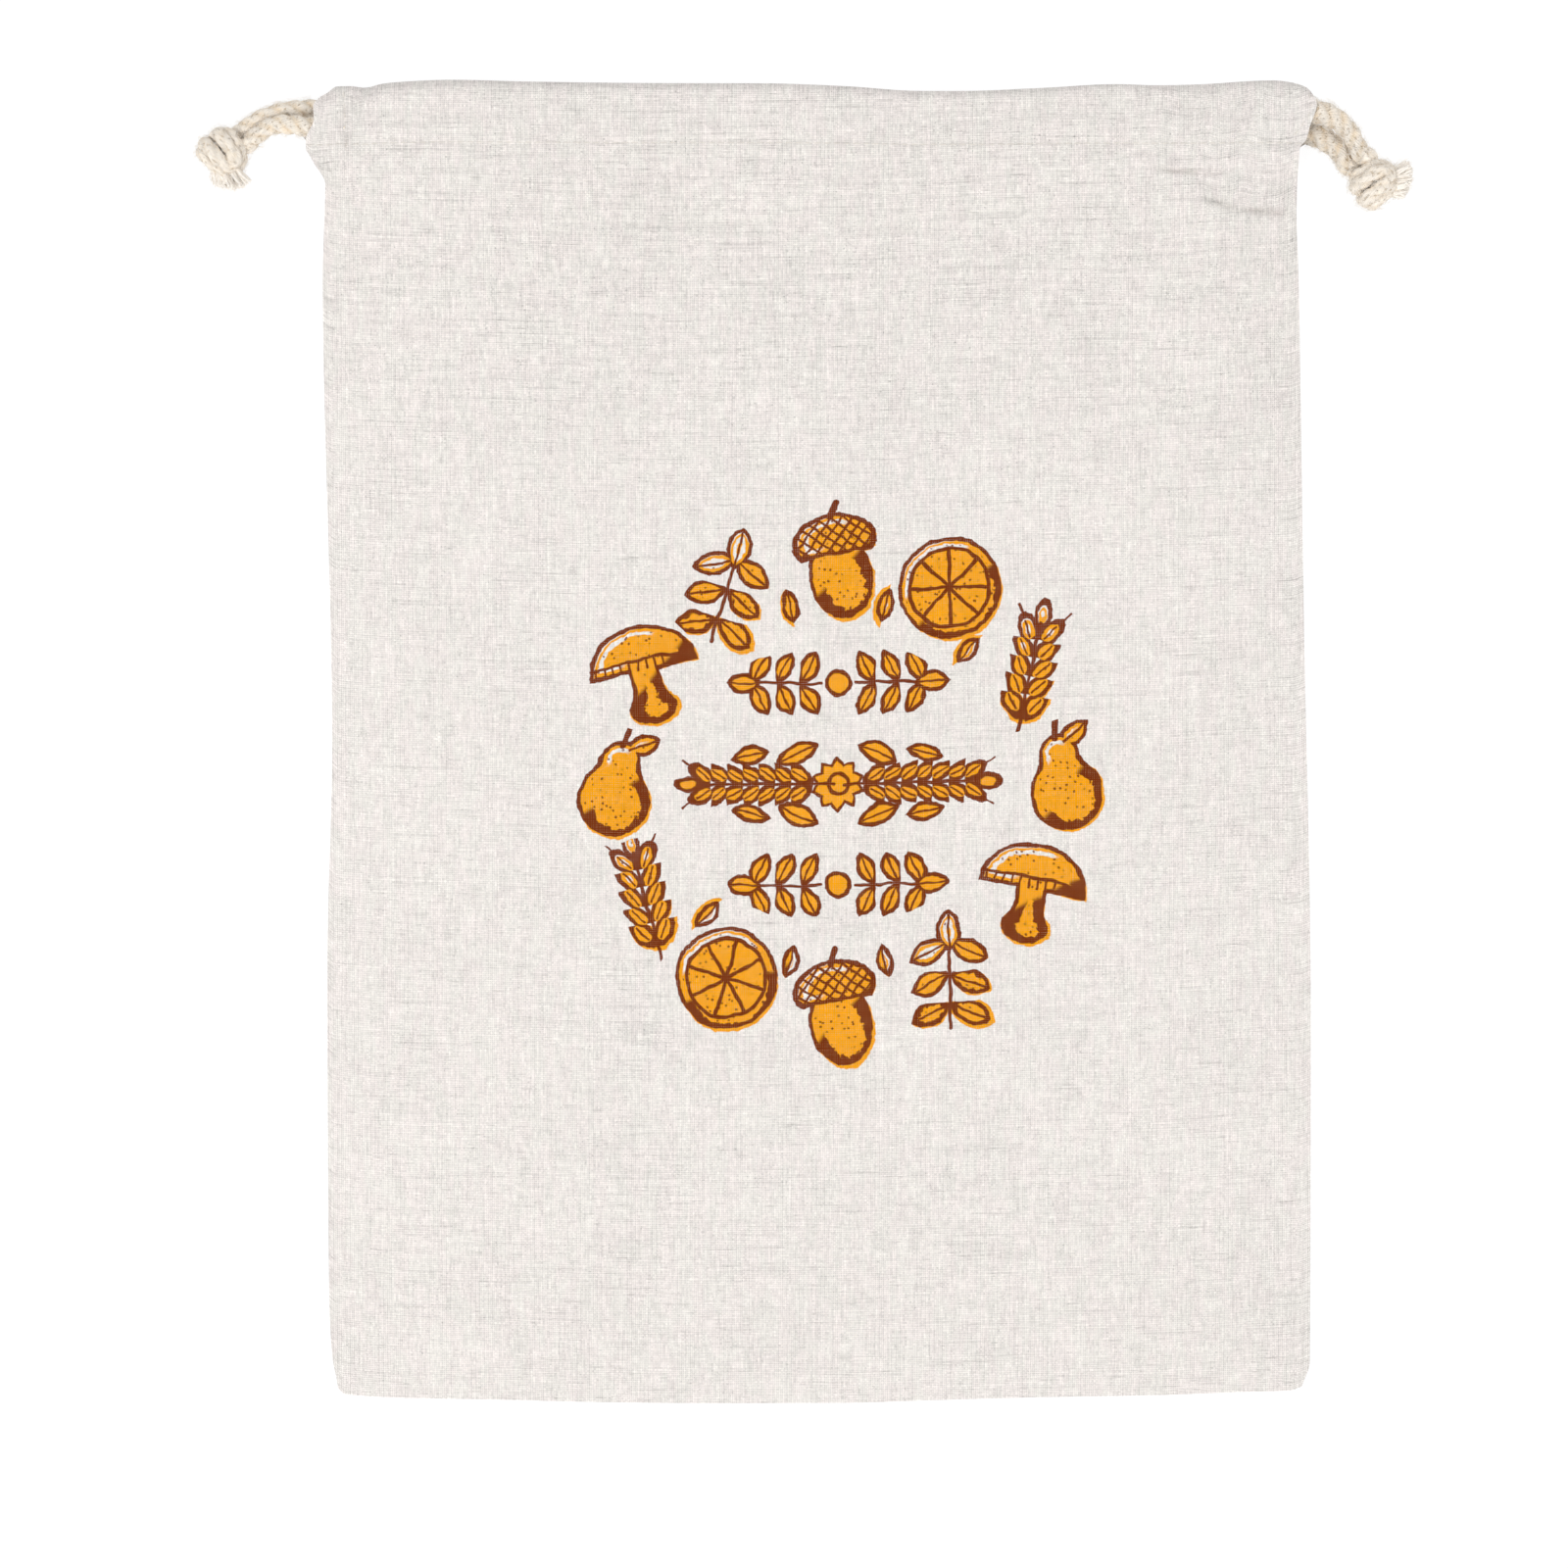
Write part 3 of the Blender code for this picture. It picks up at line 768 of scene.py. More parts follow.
def sprig(graph, x, y):
    step = 7.0
    row = ((y + 2.6) / step).math("ROUND").most(-1.0).least(1.0)
    ly = y + 2.6 - row * step
    blade, rib = leaf(graph, abs(x), ly, (4.6, 0.9), 64, 8.8, 2.3)
    top, top_rib = leaf(graph, x, y, (0.0, 10.0), 0, 9.0, 2.5)
    stem = bar(graph, x, y, (0.0, -12.0), (0.0, 6.0), 0.3)
    return blade.least(top), stem.least(rib).least(top_rib)


def ear(graph, x, y, rows=3):
    """An ear of wheat along +y."""
    step = 4.6
    row = (y / step).math("ROUND").most(-float(rows - 1)).least(float(rows - 1))
    gx, gy = turned(abs(x) - 2.8, y - row * step, -34)
    grains = oval(graph, gx, gy, 0.0, 0.0, 1.9, 3.6)
    crease = abs(gx).most(abs(gy) - 2.0) - 0.12
    awn = abs(gx).most(abs(gy - 5.2) - 1.8) - 0.14
    tip = rows * step - 0.4
    top = oval(graph, x, y, 0.0, tip, 1.8, 3.5)
    stem = bar(graph, x, y, (0.0, -tip - 5.5), (0.0, tip - 2.5), 0.32)
    return grains.least(top), stem.least(crease).least(awn)


# Rows: motif, its scale, and how far its shade reaches in from the edge
MOTIFS = (
    (pear, 1.42, 4.4), (ear, 1.22, 0.6), (citrus, 1.44, 3.2), (acorn, 1.42, 4.4), (sprig, 1.34, 1.3),
    (mushroom, 1.4, 4.0),
)
RING_COUNT = 12
RING_RADIUS = 68.0
SPRAY_SCALE = 1.06


def print_inks(graph, x, y):
    """The gold and the brown ink of the print, each from 0 to 1, at a place in millimetres."""
    drift = graph.node(
        "ShaderNodeTexNoise",
        {"noise_dimensions": "2D"},
        {"Vector": graph.place(x / 7, y / 7), "Scale": 1.0, "Detail": 2.0},
    ).outputs["Color"]
    split = graph.node("ShaderNodeSeparateColor", None, {0: drift})
    x = x - PRINT_MIDDLE[0] + (Amount(graph, split.outputs[0]) - 0.5) * 1.7
    y = y - PRINT_MIDDLE[1] + (Amount(graph, split.outputs[1]) - 0.5) * 1.7
    cell = 2 * math.pi / RING_COUNT
    turn = y.math("ARCTAN2", x)
    number = (turn / cell).math("ROUND")
    heading = number * cell
    ring_x = x - heading.math("COSINE") * RING_RADIUS
    ring_y = y - heading.math("SINE") * RING_RADIUS
    tilt = (number * 2.4).math("COSINE") * 0.3
    c, s = tilt.math("COSINE"), tilt.math("SINE")
    mx = ring_x * c + ring_y * s
    my = ring_y * c - ring_x * s
    kind = number.math("WRAP", float(len(MOTIFS)), 0.0)
    body, ink, bulk = 0.0, 0.0, 0.0
    for n, (motif, scale, reach) in enumerate(MOTIFS):
        shape, lines = motif(graph, mx / scale, my / scale)
        chosen = kind.math("COMPARE", float(n), 0.3)
        body = body + shape * scale * chosen
        ink = ink + lines * scale * chosen
        bulk = bulk + chosen * reach

    # The spray in the middle lies along x, one half the mirror of the other
    sx, sy = x / SPRAY_SCALE, y / SPRAY_SCALE
    spray, spray_ink = ear(graph, sy, abs(sx) - 25.0, rows=4)
    flower_out = graph.length(sx, sy)
    petal_turn = abs((turn / (2 * math.pi) * 10.0).math("FRACT") - 0.5)
    petals = flower_out - 7.4 + petal_turn * 3.8
    heart = abs(flower_out - 2.8) - 0.4
    blade, rib = leaf(graph, abs(sx), abs(sy), (11.5, 8.8), 66, 11.5, 2.7)
    outer_blade, outer_rib = leaf(graph, abs(sx), abs(sy), (25.0, 8.4), 78, 10.0, 2.2)
    inner = spray.least(petals).least(blade).least(outer_blade) * SPRAY_SCALE
    inner_ink = spray_ink.least(heart).least(rib).least(outer_rib) * SPRAY_SCALE

    # Sprigs above and below it, with a berry between each two
    sprays, sprays_ink = sprig(graph, abs(sy) - 29.0, abs(sx) - 17.0)
    berry = disc(graph, abs(sx), abs(sy), 0.0, 29.0, 3.4)
    inner = inner.least(sprays * SPRAY_SCALE).least(berry * SPRAY_SCALE)
    inner_ink = inner_ink.least(sprays_ink * SPRAY_SCALE)

    outside = graph.length(x, y / 0.86).rise(50.5, 50.7)
    body = inner + (body - inner) * outside
    ink = inner_ink + (ink - inner_ink) * outside
    px = mx * outside
    py = my * outside

    # Small leaves between the motifs
    gap_turn = (turn / cell + 0.5).math("ROUND") * cell - cell / 2
    gap_c, gap_s = gap_turn.math("COSINE"), gap_turn.math("SINE")
    out = x * gap_c + y * gap_s
    off = y * gap_c - x * gap_s
    small, small_rib = leaf(graph, off, out - 56.0, (0.0, 0.0), 0, 9.0, 2.1)
    crowded = (gap_turn * 2).math("SINE").fall(-0.7, -0.6).most(abs(gap_s).fall(0.5, 0.6)) * 50.0
    body = body.least(small + crowded)
    ink = ink.least(small_rib + crowded)

    shaky = graph.grain(x / 1.6, y / 1.6, 2.0) - 0.5
    width = 0.62 + shaky * 0.7
    outline = (abs(body) - width).fall(-0.09, 0.09)
    slant = (px * 0.75 - py) / 11.4
    inside = body.fall(-0.1, 0.1)
    shade = (body + bulk - slant * 0.5 * bulk + shaky * 2.2).rise(-0.1, 0.1) * inside
    shade = shade * (slant - 0.2).rise(0.0, 0.2)
    dots = graph.number(
        "ShaderNodeTexVoronoi",
        {"voronoi_dimensions": "2D"},
        {"Vector": graph.place(x / 2.3, y / 2.3), "Scale": 1.0, "Randomness": 0.9},
    )
    sown = graph.grain(x / 5, y / 5).rise(0.42, 0.56) * outside
    freckles = dots.fall(0.13, 0.19) * (body + 1.6).fall(-0.1, 0.1) * sown
    lines = (ink - 0.16 + shaky * 0.3).fall(-0.09, 0.09)
    brown = outline.most(shade).most(lines).most(freckles * 0.9)
    glint = (abs(body + 2.1) - 0.55 + shaky * 0.9).fall(-0.1, 0.1) * (-slant - 0.55).rise(0.0, 0.2)
    gold = (body - 0.25 - slant * 0.75 + shaky * 0.7).fall(-0.12, 0.12) * (1.0 - glint)
    return gold, brown


def linen(name, sizes, printed):
    """Plain-weave linen with slubs, flecks and reed marks, and the print if it has one."""
    graph = Graph(name, 0.9)
    graph.shader.inputs["Specular IOR Level"].default_value = 0.1
    place = graph.node("ShaderNodeUVMap", {"uv_map": "flat_pattern"}).outputs[0]
    flat = graph.node("ShaderNodeSeparateXYZ", None, {0: place})
    x = (Amount(graph, flat.outputs[0]) - 0.5) * FLAT_SPAN
    y = (Amount(graph, flat.outputs[1]) - 0.5) * FLAT_SPAN

    # Yarns wander a little, so that no two gaps are alike
    warp_pitch, weft_pitch = 0.64, 0.61
    across = x / warp_pitch + (graph.grain(x / 2.2, y / 30) - 0.5) * 1.1
    along = y / weft_pitch + (graph.grain(x / 26 + 9.0, y / 1.9) - 0.5) * 1.3
    warp_number = across.math("FLOOR")
    weft_number = along.math("FLOOR")
    warp_round = (across.math("FRACT") * math.pi).math("SINE")
    weft_round = (along.math("FRACT") * math.pi).math("SINE")
    over = ((warp_number + weft_number) * 0.5).math("FRACT") * 2.0
    warp_thick = graph.grain(warp_number * 7.31, y / 7.0, 3.0)
    weft_thick = graph.grain(x / 8.0, weft_number * 5.17, 3.0)
    warp_tone = graph.grain(warp_number * 3.73 + 40.0, y / 3.4, 2.0)
    weft_tone = graph.grain(x / 2.4, weft_number * 9.31 + 70.0, 2.0)
    top = warp_round * over + weft_round * (1.0 - over)
    hollow = 1.0 - warp_round.most(weft_round)
    thick = warp_thick * over + weft_thick * (1.0 - over)
    tone = warp_tone * over + weft_tone * (1.0 - over)

    # Reed marks, dark slubs and broad clouds
    reed = ((x + (graph.grain(x / 3, y / 40) - 0.5) * 0.7) / (2 * warp_pitch)).math("FRACT")
    reed_mark = abs(reed - 0.5).rise(0.3, 0.5) * graph.grain(x / 4, y / 16).rise(0.34, 0.62)
    slub = graph.grain(x / 7.5, y / 0.42, 1.0).rise(0.66, 0.8)
    long_slub = graph.grain(x / 34.0, y / 0.5 + 31.0, 1.0).rise(0.69, 0.78)
    upright_slub = graph.grain(x / 0.45 + 17.0, y / 6.0, 1.0).rise(0.66, 0.8)
    speck = graph.grain(x / 0.75 + 5.0, y / 0.6, 0.0).rise(0.75, 0.87)
    cloud = graph.grain(x / 45, y / 38, 2.0) - 0.5
    patch = graph.grain(x / 3.4 + 3.0, y / 2.8, 2.0)

    # painted shade: the creases' depth, read to darken the cloth in its creases
    crease = graph.number("ShaderNodeAttribute", {"attribute_name": "crease"}, output=2)
    column = graph.grain(x / 1.2 + 50.0, y / 16, 2.0)
    course = graph.grain(x / 34, y / 1.4 + 50.0, 2.0)

    coarse = 0.66 + y.rise(40.0, 150.0) * 0.26
    value = (
        1.0
        + (tone - 0.5) * 0.36 * (0.9 + coarse * 0.2)
        + (warp_tone - 0.5) * 0.15 * coarse
        + (thick - 0.5) * 0.18
        + (patch - 0.5) * 0.06
        + (column - 0.5) * 0.12
        + (course - 0.5) * (0.06 + y.rise(60.0, 150.0) * 0.12)
        + cloud * 0.05
        + top * 0.05
        - hollow * 0.22
        - reed_mark * 0.08
        - slub * 0.15 * patch.rise(0.35, 0.6) * coarse
        - long_slub * 0.12 * coarse
        # painted shade and light: darker towards the mouth and towards the bottom, lighter towards the
        # left side, as the light falls on the cloth
        - y.rise(60.0, 150.0) * 0.025
        - y.fall(-200.0, -120.0) * 0.022
        + x.fall(-150.0, -60.0) * 0.015
        # painted shade in the creases
        - crease * 0.045
        - upright_slub * 0.11 * coarse
        - speck * 0.34 * coarse * graph.grain(x / 9, y / 9).rise(0.46, 0.6)
    )
    hue = graph.grain(x / 5.0 + 60.0, y / 12.0, 1.0)
    ground = graph.colours(
        "MIX",
        hue.rise(0.35, 0.65),
        (sizes.ground[0] * 0.991, sizes.ground[1] * 1.005, sizes.ground[2] * 0.996, 1.0),
        (sizes.ground[0] * 1.008, sizes.ground[1] * 0.996, sizes.ground[2] * 1.001, 1.0),
    )
    colour = graph.colours("MULTIPLY", 1.0, ground, graph.grey(value))
    rise = top * 0.6 + thick * 0.5 + slub * 0.5 + long_slub * 0.4 - reed_mark * 0.3
    if printed:
        gold, brown = print_inks(graph, x, y)
        taken = 1.0 - (hollow * 1.2 + (0.5 - thick) * 1.0).rise(0.5, 0.95) * 0.55
        spread = (tone - 0.5) * 0.35 + 1.0
        gold_ink = graph.colours("MULTIPLY", 1.0, (*sizes.gold, 1.0), graph.grey(spread))
        brown_ink = graph.colours("MULTIPLY", 1.0, (*sizes.brown, 1.0), graph.grey(spread))
        colour = graph.colours("MIX", gold * taken, colour, gold_ink)
        colour = graph.colours("MIX", brown * taken, colour, brown_ink)
        rise = rise - (gold.most(brown)) * 0.15
    graph.put(graph.shader.inputs["Base Color"], colour)
    graph.put(graph.shader.inputs["Normal"], graph.bump(rise, 0.00016))
    return graph.material


def cotton(name, colour, groove_shade_depth, press_shade_depth):
    """Twisted cotton with painted shade, darker and warmer, in the grooves between the plies, in small
    pits and where two runs of the cord press together.
    """
    graph = Graph(name, 0.88)
    graph.shader.inputs["Specular IOR Level"].default_value = 0.2
    place = graph.node("ShaderNodeUVMap", {"uv_map": "along_cord"}).outputs[0]
    spot = graph.node("ShaderNodeSeparateXYZ", None, {0: place})
    around = Amount(graph, spot.outputs[0]) * 16.0
    along = Amount(graph, spot.outputs[1]) * 100.0
    groove = graph.number("ShaderNodeAttribute", {"attribute_name": "groove"}, output=2)
    pressed_shade = graph.number("ShaderNodeAttribute", {"attribute_name": "pressed_shade"}, output=2)
    yarns = abs(((around * 1.35 + along * 0.55)).math("FRACT") - 0.5) * 2.0
    fibre = graph.grain(around * 3.2 + along * 1.1, along * 0.5 - around * 0.2, 3.0)
    blotch = graph.grain(around * 0.35 + 7.0, along * 0.35, 2.0)
    pit = graph.grain(around * 0.95 + 21.0, along * 0.8, 2.0).rise(0.6, 0.76)
    value = (
        1.0
        + (fibre - 0.5) * 0.3
        + (blotch - 0.5) * 0.2
        # painted shade in the grooves between the plies and in small pits
        - groove * 0.06
        - yarns * 0.04
        - pit * 0.13
        # painted shade where two runs of the cord press together
        - pressed_shade * press_shade_depth
    )
    # painted shade, warmer, in the grooves, the pits and where runs press together; the blotches are the
    # cotton's own tone
    warm = graph.colours(
        "MIX",
        (groove * groove_shade_depth + pit * 0.6 + pressed_shade * press_shade_depth * 2.0 + (blotch - 0.5) * 0.7).kept(),
        (*colour, 1.0),
        (colour[0] * 0.96, colour[1] * 0.82, colour[2] * 0.62, 1.0),
    )
    graph.put(
        graph.shader.inputs["Base Color"], graph.colours("MULTIPLY", 1.0, warm, graph.grey(value))
    )
    height = fibre * 0.7 - yarns * 0.4 - pit * 1.1
    graph.put(graph.shader.inputs["Normal"], graph.bump(height, 0.00032))
    return graph.material


def fibre_finish(name, colour):
    """Loose cotton fibres, a little uneven in tone."""
    graph = Graph(name, 0.8)
    spot = graph.node("ShaderNodeTexCoord").outputs["Object"]
    tone = graph.number("ShaderNodeTexNoise", None, {"Vector": spot, "Scale": 900.0, "Detail": 1.0})
    colour = graph.colours("MULTIPLY", 1.0, (*colour, 1.0), graph.grey(1.0 + (tone - 0.5) * 0.3))
    graph.put(graph.shader.inputs["Base Color"], colour)
    return graph.material


def thread_finish(name, colour):
    """Sewing thread with its fine twist."""
    graph = Graph(name, 0.7)
    spot = graph.node("ShaderNodeTexCoord").outputs["Object"]
    twist = graph.number("ShaderNodeTexNoise", None, {"Vector": spot, "Scale": 2600.0, "Detail": 2.0})
    colour = graph.colours("MULTIPLY", 1.0, (*colour, 1.0), graph.grey(0.92 + (twist - 0.5) * 0.3))
    graph.put(graph.shader.inputs["Base Color"], colour)
    graph.put(graph.shader.inputs["Normal"], graph.bump(twist, 0.00006))
    return graph.material


def floor_finish():
    """A pale matt light table, whose glow thins the shadows."""
    graph = Graph("pale_floor", 0.95)
    spot = graph.node("ShaderNodeTexCoord").outputs["Object"]
    tone = graph.number("ShaderNodeTexNoise", None, {"Vector": spot, "Scale": 3.0, "Detail": 1.0})
    colour = graph.grey(0.16 + (tone - 0.5) * 0.006)
    graph.put(graph.shader.inputs["Base Color"], colour)
    graph.shader.inputs["Specular IOR Level"].default_value = 0.0
    graph.shader.inputs["Emission Color"].default_value = (1.0, 1.0, 1.0, 1.0)
    graph.shader.inputs["Emission Strength"].default_value = 0.9
    return graph.material


def smooth_path(points, step, most_turn):
    """Points along one smooth curve through the route's own, closer together where it bends."""
    spots = [Vector(p) for p in points]
    gaps = [(b - a).length for a, b in zip(spots, spots[1:])]
    ways = [(b - a) / gap for a, b, gap in zip(spots, spots[1:], gaps)]
    tangents = [ways[0]]
    for n in range(1, len(spots) - 1):
        blend = (ways[n - 1] * gaps[n] + ways[n] * gaps[n - 1]) / (gaps[n - 1] + gaps[n])
        tangents.append(blend)
    tangents.append(ways[-1])
    path = [spots[0]]
    starts = [0]
    for n, gap in enumerate(gaps):
        bend = tangents[n].angle(tangents[n + 1])
        steps = max(1, math.ceil(gap / step), math.ceil(bend / most_turn))
        for k in range(1, steps + 1):
            t = k / steps
            rise = 3 * t * t - 2 * t**3
            spot = spots[n] * (1 - rise) + spots[n + 1] * rise
            spot += tangents[n] * gap * (t - 2 * t * t + t**3)
            spot += tangents[n + 1] * gap * (t**3 - t * t)
            path.append(spot)
        starts.append(len(path) - 1)
    return path, starts


def knot_place(spot):
    x, y, heading = spot
    turn = Matrix.Rotation(math.radians(heading), 4, "Z")
    return Matrix.Translation((x, y, KNOT_HEIGHT)) @ turn


def strand_in_knot(lead, side):
    """One strand's points from where it meets the knot to the tuft, in the knot's own frame."""
    core = Vector(KNOT_CORE)
    middle = [Vector(p) for p in KNOT_PATH]
    points = [Vector(p) for p in lead]
    for n, spot in enumerate(middle):
        along = (middle[min(n + 1, len(middle) - 1)] - middle[max(n - 1, 0)]).normalized()
        outward = spot - core
        outward = (outward - along * outward.dot(along)).normalized()
        apart = along.cross(outward) * (side * STRAND_APART)
        squeeze = 0.85 if n < 3 or n > 9 else 1.0
        points.append(spot + apart * squeeze)
    heading = math.radians(TUFT_HEADING)
    way = Vector((math.cos(heading), math.sin(heading), 0))
    across = Vector((-way.y, way.x, 0))
    end_side = 1 if (points[-1] - Vector(TUFT_ROOT)).dot(across) > 0 else -1
    points[-1] = Vector(TUFT_ROOT) + across * (end_side * 2.1)
    points.append(points[-1] + way * 2.0 + across * (end_side * 0.3))
    return points


def rings_along(path, radius_at, plies, lay):
    """Rings of a laid rope along a path, each with the arc length and the depth of its grooves."""
    rings = []
    side = Vector((0.0, 0.0, 1.0))
    travelled = 0.0
    for n, spot in enumerate(path):
        before, after = path[max(n - 1, 0)], path[min(n + 1, len(path) - 1)]
        along = (after - before).normalized()
        side = (side - along * side.dot(along)).normalized()
        other = along.cross(side)
        if n:
            travelled += (spot - path[n - 1]).length
        phase = 2 * math.pi * travelled / lay
        radius = radius_at(n)
        points, grooves = [], []
        for k in range(ROPE_SEGMENTS):
            angle = 2 * math.pi * k / ROPE_SEGMENTS
            lobe = abs(math.sin(plies / 2 * (angle - phase)))
            dip = 1 - math.sqrt(1 - GROOVE_SHARPNESS * lobe**2)
            spot_on = Vector((travelled * 0.42, 1.3 * math.cos(angle), 1.3 * math.sin(angle)))
            reach = radius * (1 - GROOVE_DEPTH * dip) * (1 + ROPE_UNEVEN * noise.noise(spot_on))
            point = spot + (side * math.cos(angle) + other * math.sin(angle)) * reach
            point.z = max(point.z, LEAST_Z)
            points.append(point)
            grooves.append(dip)
        rings.append((points, grooves, travelled))
    return rings


def shade_where_pressed(rings, path, reach, radii):
    """How closely each point of the rope lies against another run of it, from 0 to 1, for the painted
    shade where the runs press together.
    """
    runs = KDTree(len(path))
    for n, spot in enumerate(path):
        runs.insert(spot, n)
    runs.balance()
    near = max(radii) + PRESS_REACH
    shade_marks = []
    for points, _, travelled in rings:
        row = []
        for spot in points:
            shade_mark = 0.0
            for _, n, off in runs.find_range(spot, near):
                if abs(reach[n] - travelled) > 9.0:
                    shade_mark = max(shade_mark, ease_in(1 - (off - radii[n]) / PRESS_REACH))
            row.append(shade_mark)
        shade_marks.append(row)
    return shade_marks


def rope_mesh(name, runs, shown=None):
    """A mesh of one or more closed runs of rings, with its UV map and its attributes."""
    rope = bmesh.new()
    wrap = rope.loops.layers.uv.new("along_cord")
    groove_layer = rope.verts.layers.float.new("groove")
    press_shade_layer = rope.verts.layers.float.new("pressed_shade")
    fluff_layer = rope.verts.layers.float.new("fluff")
    for rings, shade_marks in runs:
        rows = []
        for (points, grooves, _), pressed_shade in zip(rings, shade_marks):
            row = []
            for spot, groove, shade_mark in zip(points, grooves, pressed_shade):
                vertex = rope.verts.new(spot * MM)
                vertex[groove_layer] = groove
                vertex[press_shade_layer] = shade_mark
                vertex[fluff_layer] = 1.0 if shown is None or shown(spot) else 0.0
                row.append(vertex)
            rows.append(row)
        for n, (row, after) in enumerate(zip(rows, rows[1:])):
            low, high = rings[n][2] / 100.0, rings[n + 1][2] / 100.0
            for k in range(ROPE_SEGMENTS):
                j = (k + 1) % ROPE_SEGMENTS
                face = rope.faces.new((row[k], row[j], after[j], after[k]))
                edges = (k, k + 1, k + 1, k)
                levels = (low, low, high, high)
                for loop, edge, level in zip(face.loops, edges, levels):
                    loop[wrap].uv = (edge / ROPE_SEGMENTS, level)
        rope.faces.new(reversed(rows[0]))
        rope.faces.new(rows[-1])
    mesh = bpy.data.meshes.new(name)
    rope.to_mesh(mesh)
    rope.free()
    mesh.shade_smooth()
    return mesh


def fresh_tree(name, inputs):
    """A geometry node tree with a geometry output and named inputs."""
    tree = bpy.data.node_groups.new(name, "GeometryNodeTree")
    face = tree.interface
    face.new_socket(name="Geometry", in_out="INPUT", socket_type="NodeSocketGeometry")
    face.new_socket(name="Geometry", in_out="OUTPUT", socket_type="NodeSocketGeometry")
    for label, kind, default in inputs:
        socket = face.new_socket(name=label, in_out="INPUT", socket_type=kind)
        if default is not None:
            socket.default_value = default
    return tree


def wired(tree, kind, values=None, settings=None, output=0):
    """What a new node of a geometry tree gives, its settings made first and then its sockets."""
    made = tree.nodes.new(kind)
    for name, value in (settings or {}).items():
        setattr(made, name, value)
    for name, value in (values or {}).items():
        if isinstance(value, bpy.types.NodeSocket):
            tree.links.new(value, made.inputs[name])
        else:
            made.inputs[name].default_value = value
    return made.outputs if output is None else made.outputs[output]


def uneven(add, given, least, most):
    """A number for each copy, drawn by the tree's seed."""
    span = {"Min": least, "Max": most, "Seed": given["Seed"]}
    return add("FunctionNodeRandomValue", span, {"data_type": "FLOAT"}, "Value")


def product(add, a, b):
    return add("ShaderNodeMath", {0: a, 1: b}, {"operation": "MULTIPLY"})


def set_out(add, given, points, piece, heading, size):
    """Copies of a piece on points, made real and given their finish, as what the tree makes."""
    places = {"Points": points, "Instance": piece, "Rotation": heading, "Scale": size}
    placed = add("GeometryNodeInstanceOnPoints", places)
    real = add("GeometryNodeRealizeInstances", {"Geometry": placed})
    finished = add("GeometryNodeSetMaterial", {"Geometry": real, "Material": given["Finish"]})
    add("NodeGroupOutput", {"Geometry": finished}, output=None)


def stitch_tree():
    """Stitches laid end to end along a line."""
    inputs = (
        ("Pitch", "NodeSocketFloat", 0.0029), ("Length", "NodeSocketFloat", 0.0023),
        ("Thread", "NodeSocketFloat", 0.00036), ("Seed", "NodeSocketInt", 7),
        ("Finish", "NodeSocketMaterial", None),
    )
    tree = fresh_tree("stitches_along_line", inputs)
    add = functools.partial(wired, tree)
    given = add("NodeGroupInput", output=None)
    thread = given["Thread"]
    line = add("GeometryNodeMeshToCurve", {"Mesh": given["Geometry"]})
    spots = add(
        "GeometryNodeResampleCurve", {"Curve": line, "Length": given["Pitch"]}, {"mode": "LENGTH"}
    )
    tangent = add("GeometryNodeInputTangent")
    heading = add("FunctionNodeAlignEulerToVector", {"Vector": tangent}, {"axis": "X"})
    ball = add("GeometryNodeMeshUVSphere", {"Segments": 8, "Rings": 6, "Radius": 0.5}, None, "Mesh")
    reach = product(add, given["Length"], uneven(add, given, 0.88, 1.08))
    size = add("ShaderNodeCombineXYZ", {"X": reach, "Y": thread, "Z": thread})
    set_out(add, given, spots, ball, heading, size)
    return tree


def fluff_tree():
    """Short loose fibres that stand off a rope's surface."""
    inputs = (
        ("Density", "NodeSocketFloat", 800000.0),
        ("Fibre Length", "NodeSocketFloat", 0.0022),
        ("Seed", "NodeSocketInt", 11),
        ("Finish", "NodeSocketMaterial", None),
    )
    tree = fresh_tree("fluff_on_rope", inputs)
    add = functools.partial(wired, tree)
    given = add("NodeGroupInput", output=None)
    allowed = add("GeometryNodeInputNamedAttribute", {"Name": "fluff"}, {"data_type": "FLOAT"})
    ground = {
        "Mesh": given["Geometry"],
        "Density": product(add, given["Density"], allowed),
        "Seed": given["Seed"],
    }
    strewn = add("GeometryNodeDistributePointsOnFaces", ground, output=None)
    bend = {
        "Resolution": 4,
        "Start": (0.0, 0.0, 0.0),
        "Start Handle": (0.25, 0.0, 0.28),
        "End Handle": (0.7, 0.18, 0.42),
        "End": (1.0, 0.3, 0.22),
    }
    arc = add("GeometryNodeCurvePrimitiveBezierSegment", bend, {"mode": "POSITION"})
    section = {"Resolution": 3, "Radius": 0.018}
    ring = add("GeometryNodeCurvePrimitiveCircle", section, {"mode": "RADIUS"}, "Curve")
    fibre = add("GeometryNodeCurveToMesh", {"Curve": arc, "Profile Curve": ring, "Fill Caps": True})
    about = add("ShaderNodeCombineXYZ", {"Z": uneven(add, given, 0.0, 6.283)})
    turns = {"Rotation": strewn["Rotation"], "Rotate By": about}
    heading = add("FunctionNodeRotateEuler", turns, {"space": "LOCAL"})
    scale = product(add, uneven(add, given, 0.4, 1.15), given["Fibre Length"])
    set_out(add, given, strewn["Points"], fibre, heading, scale)
    return tree


def hosted(source):
    """A passing object that holds a mesh or a curve while it is worked on."""
    host = bpy.data.objects.new("source", source)
    bpy.context.scene.collection.objects.link(host)
    return host


def settled(host):
    """The plain mesh that an object's curve or modifiers come to, in place of the object."""
    bpy.context.view_layer.update()
    graph = bpy.context.evaluated_depsgraph_get()
    mesh = bpy.data.meshes.new_from_object(host.evaluated_get(graph))
    bpy.data.objects.remove(host)
    return mesh


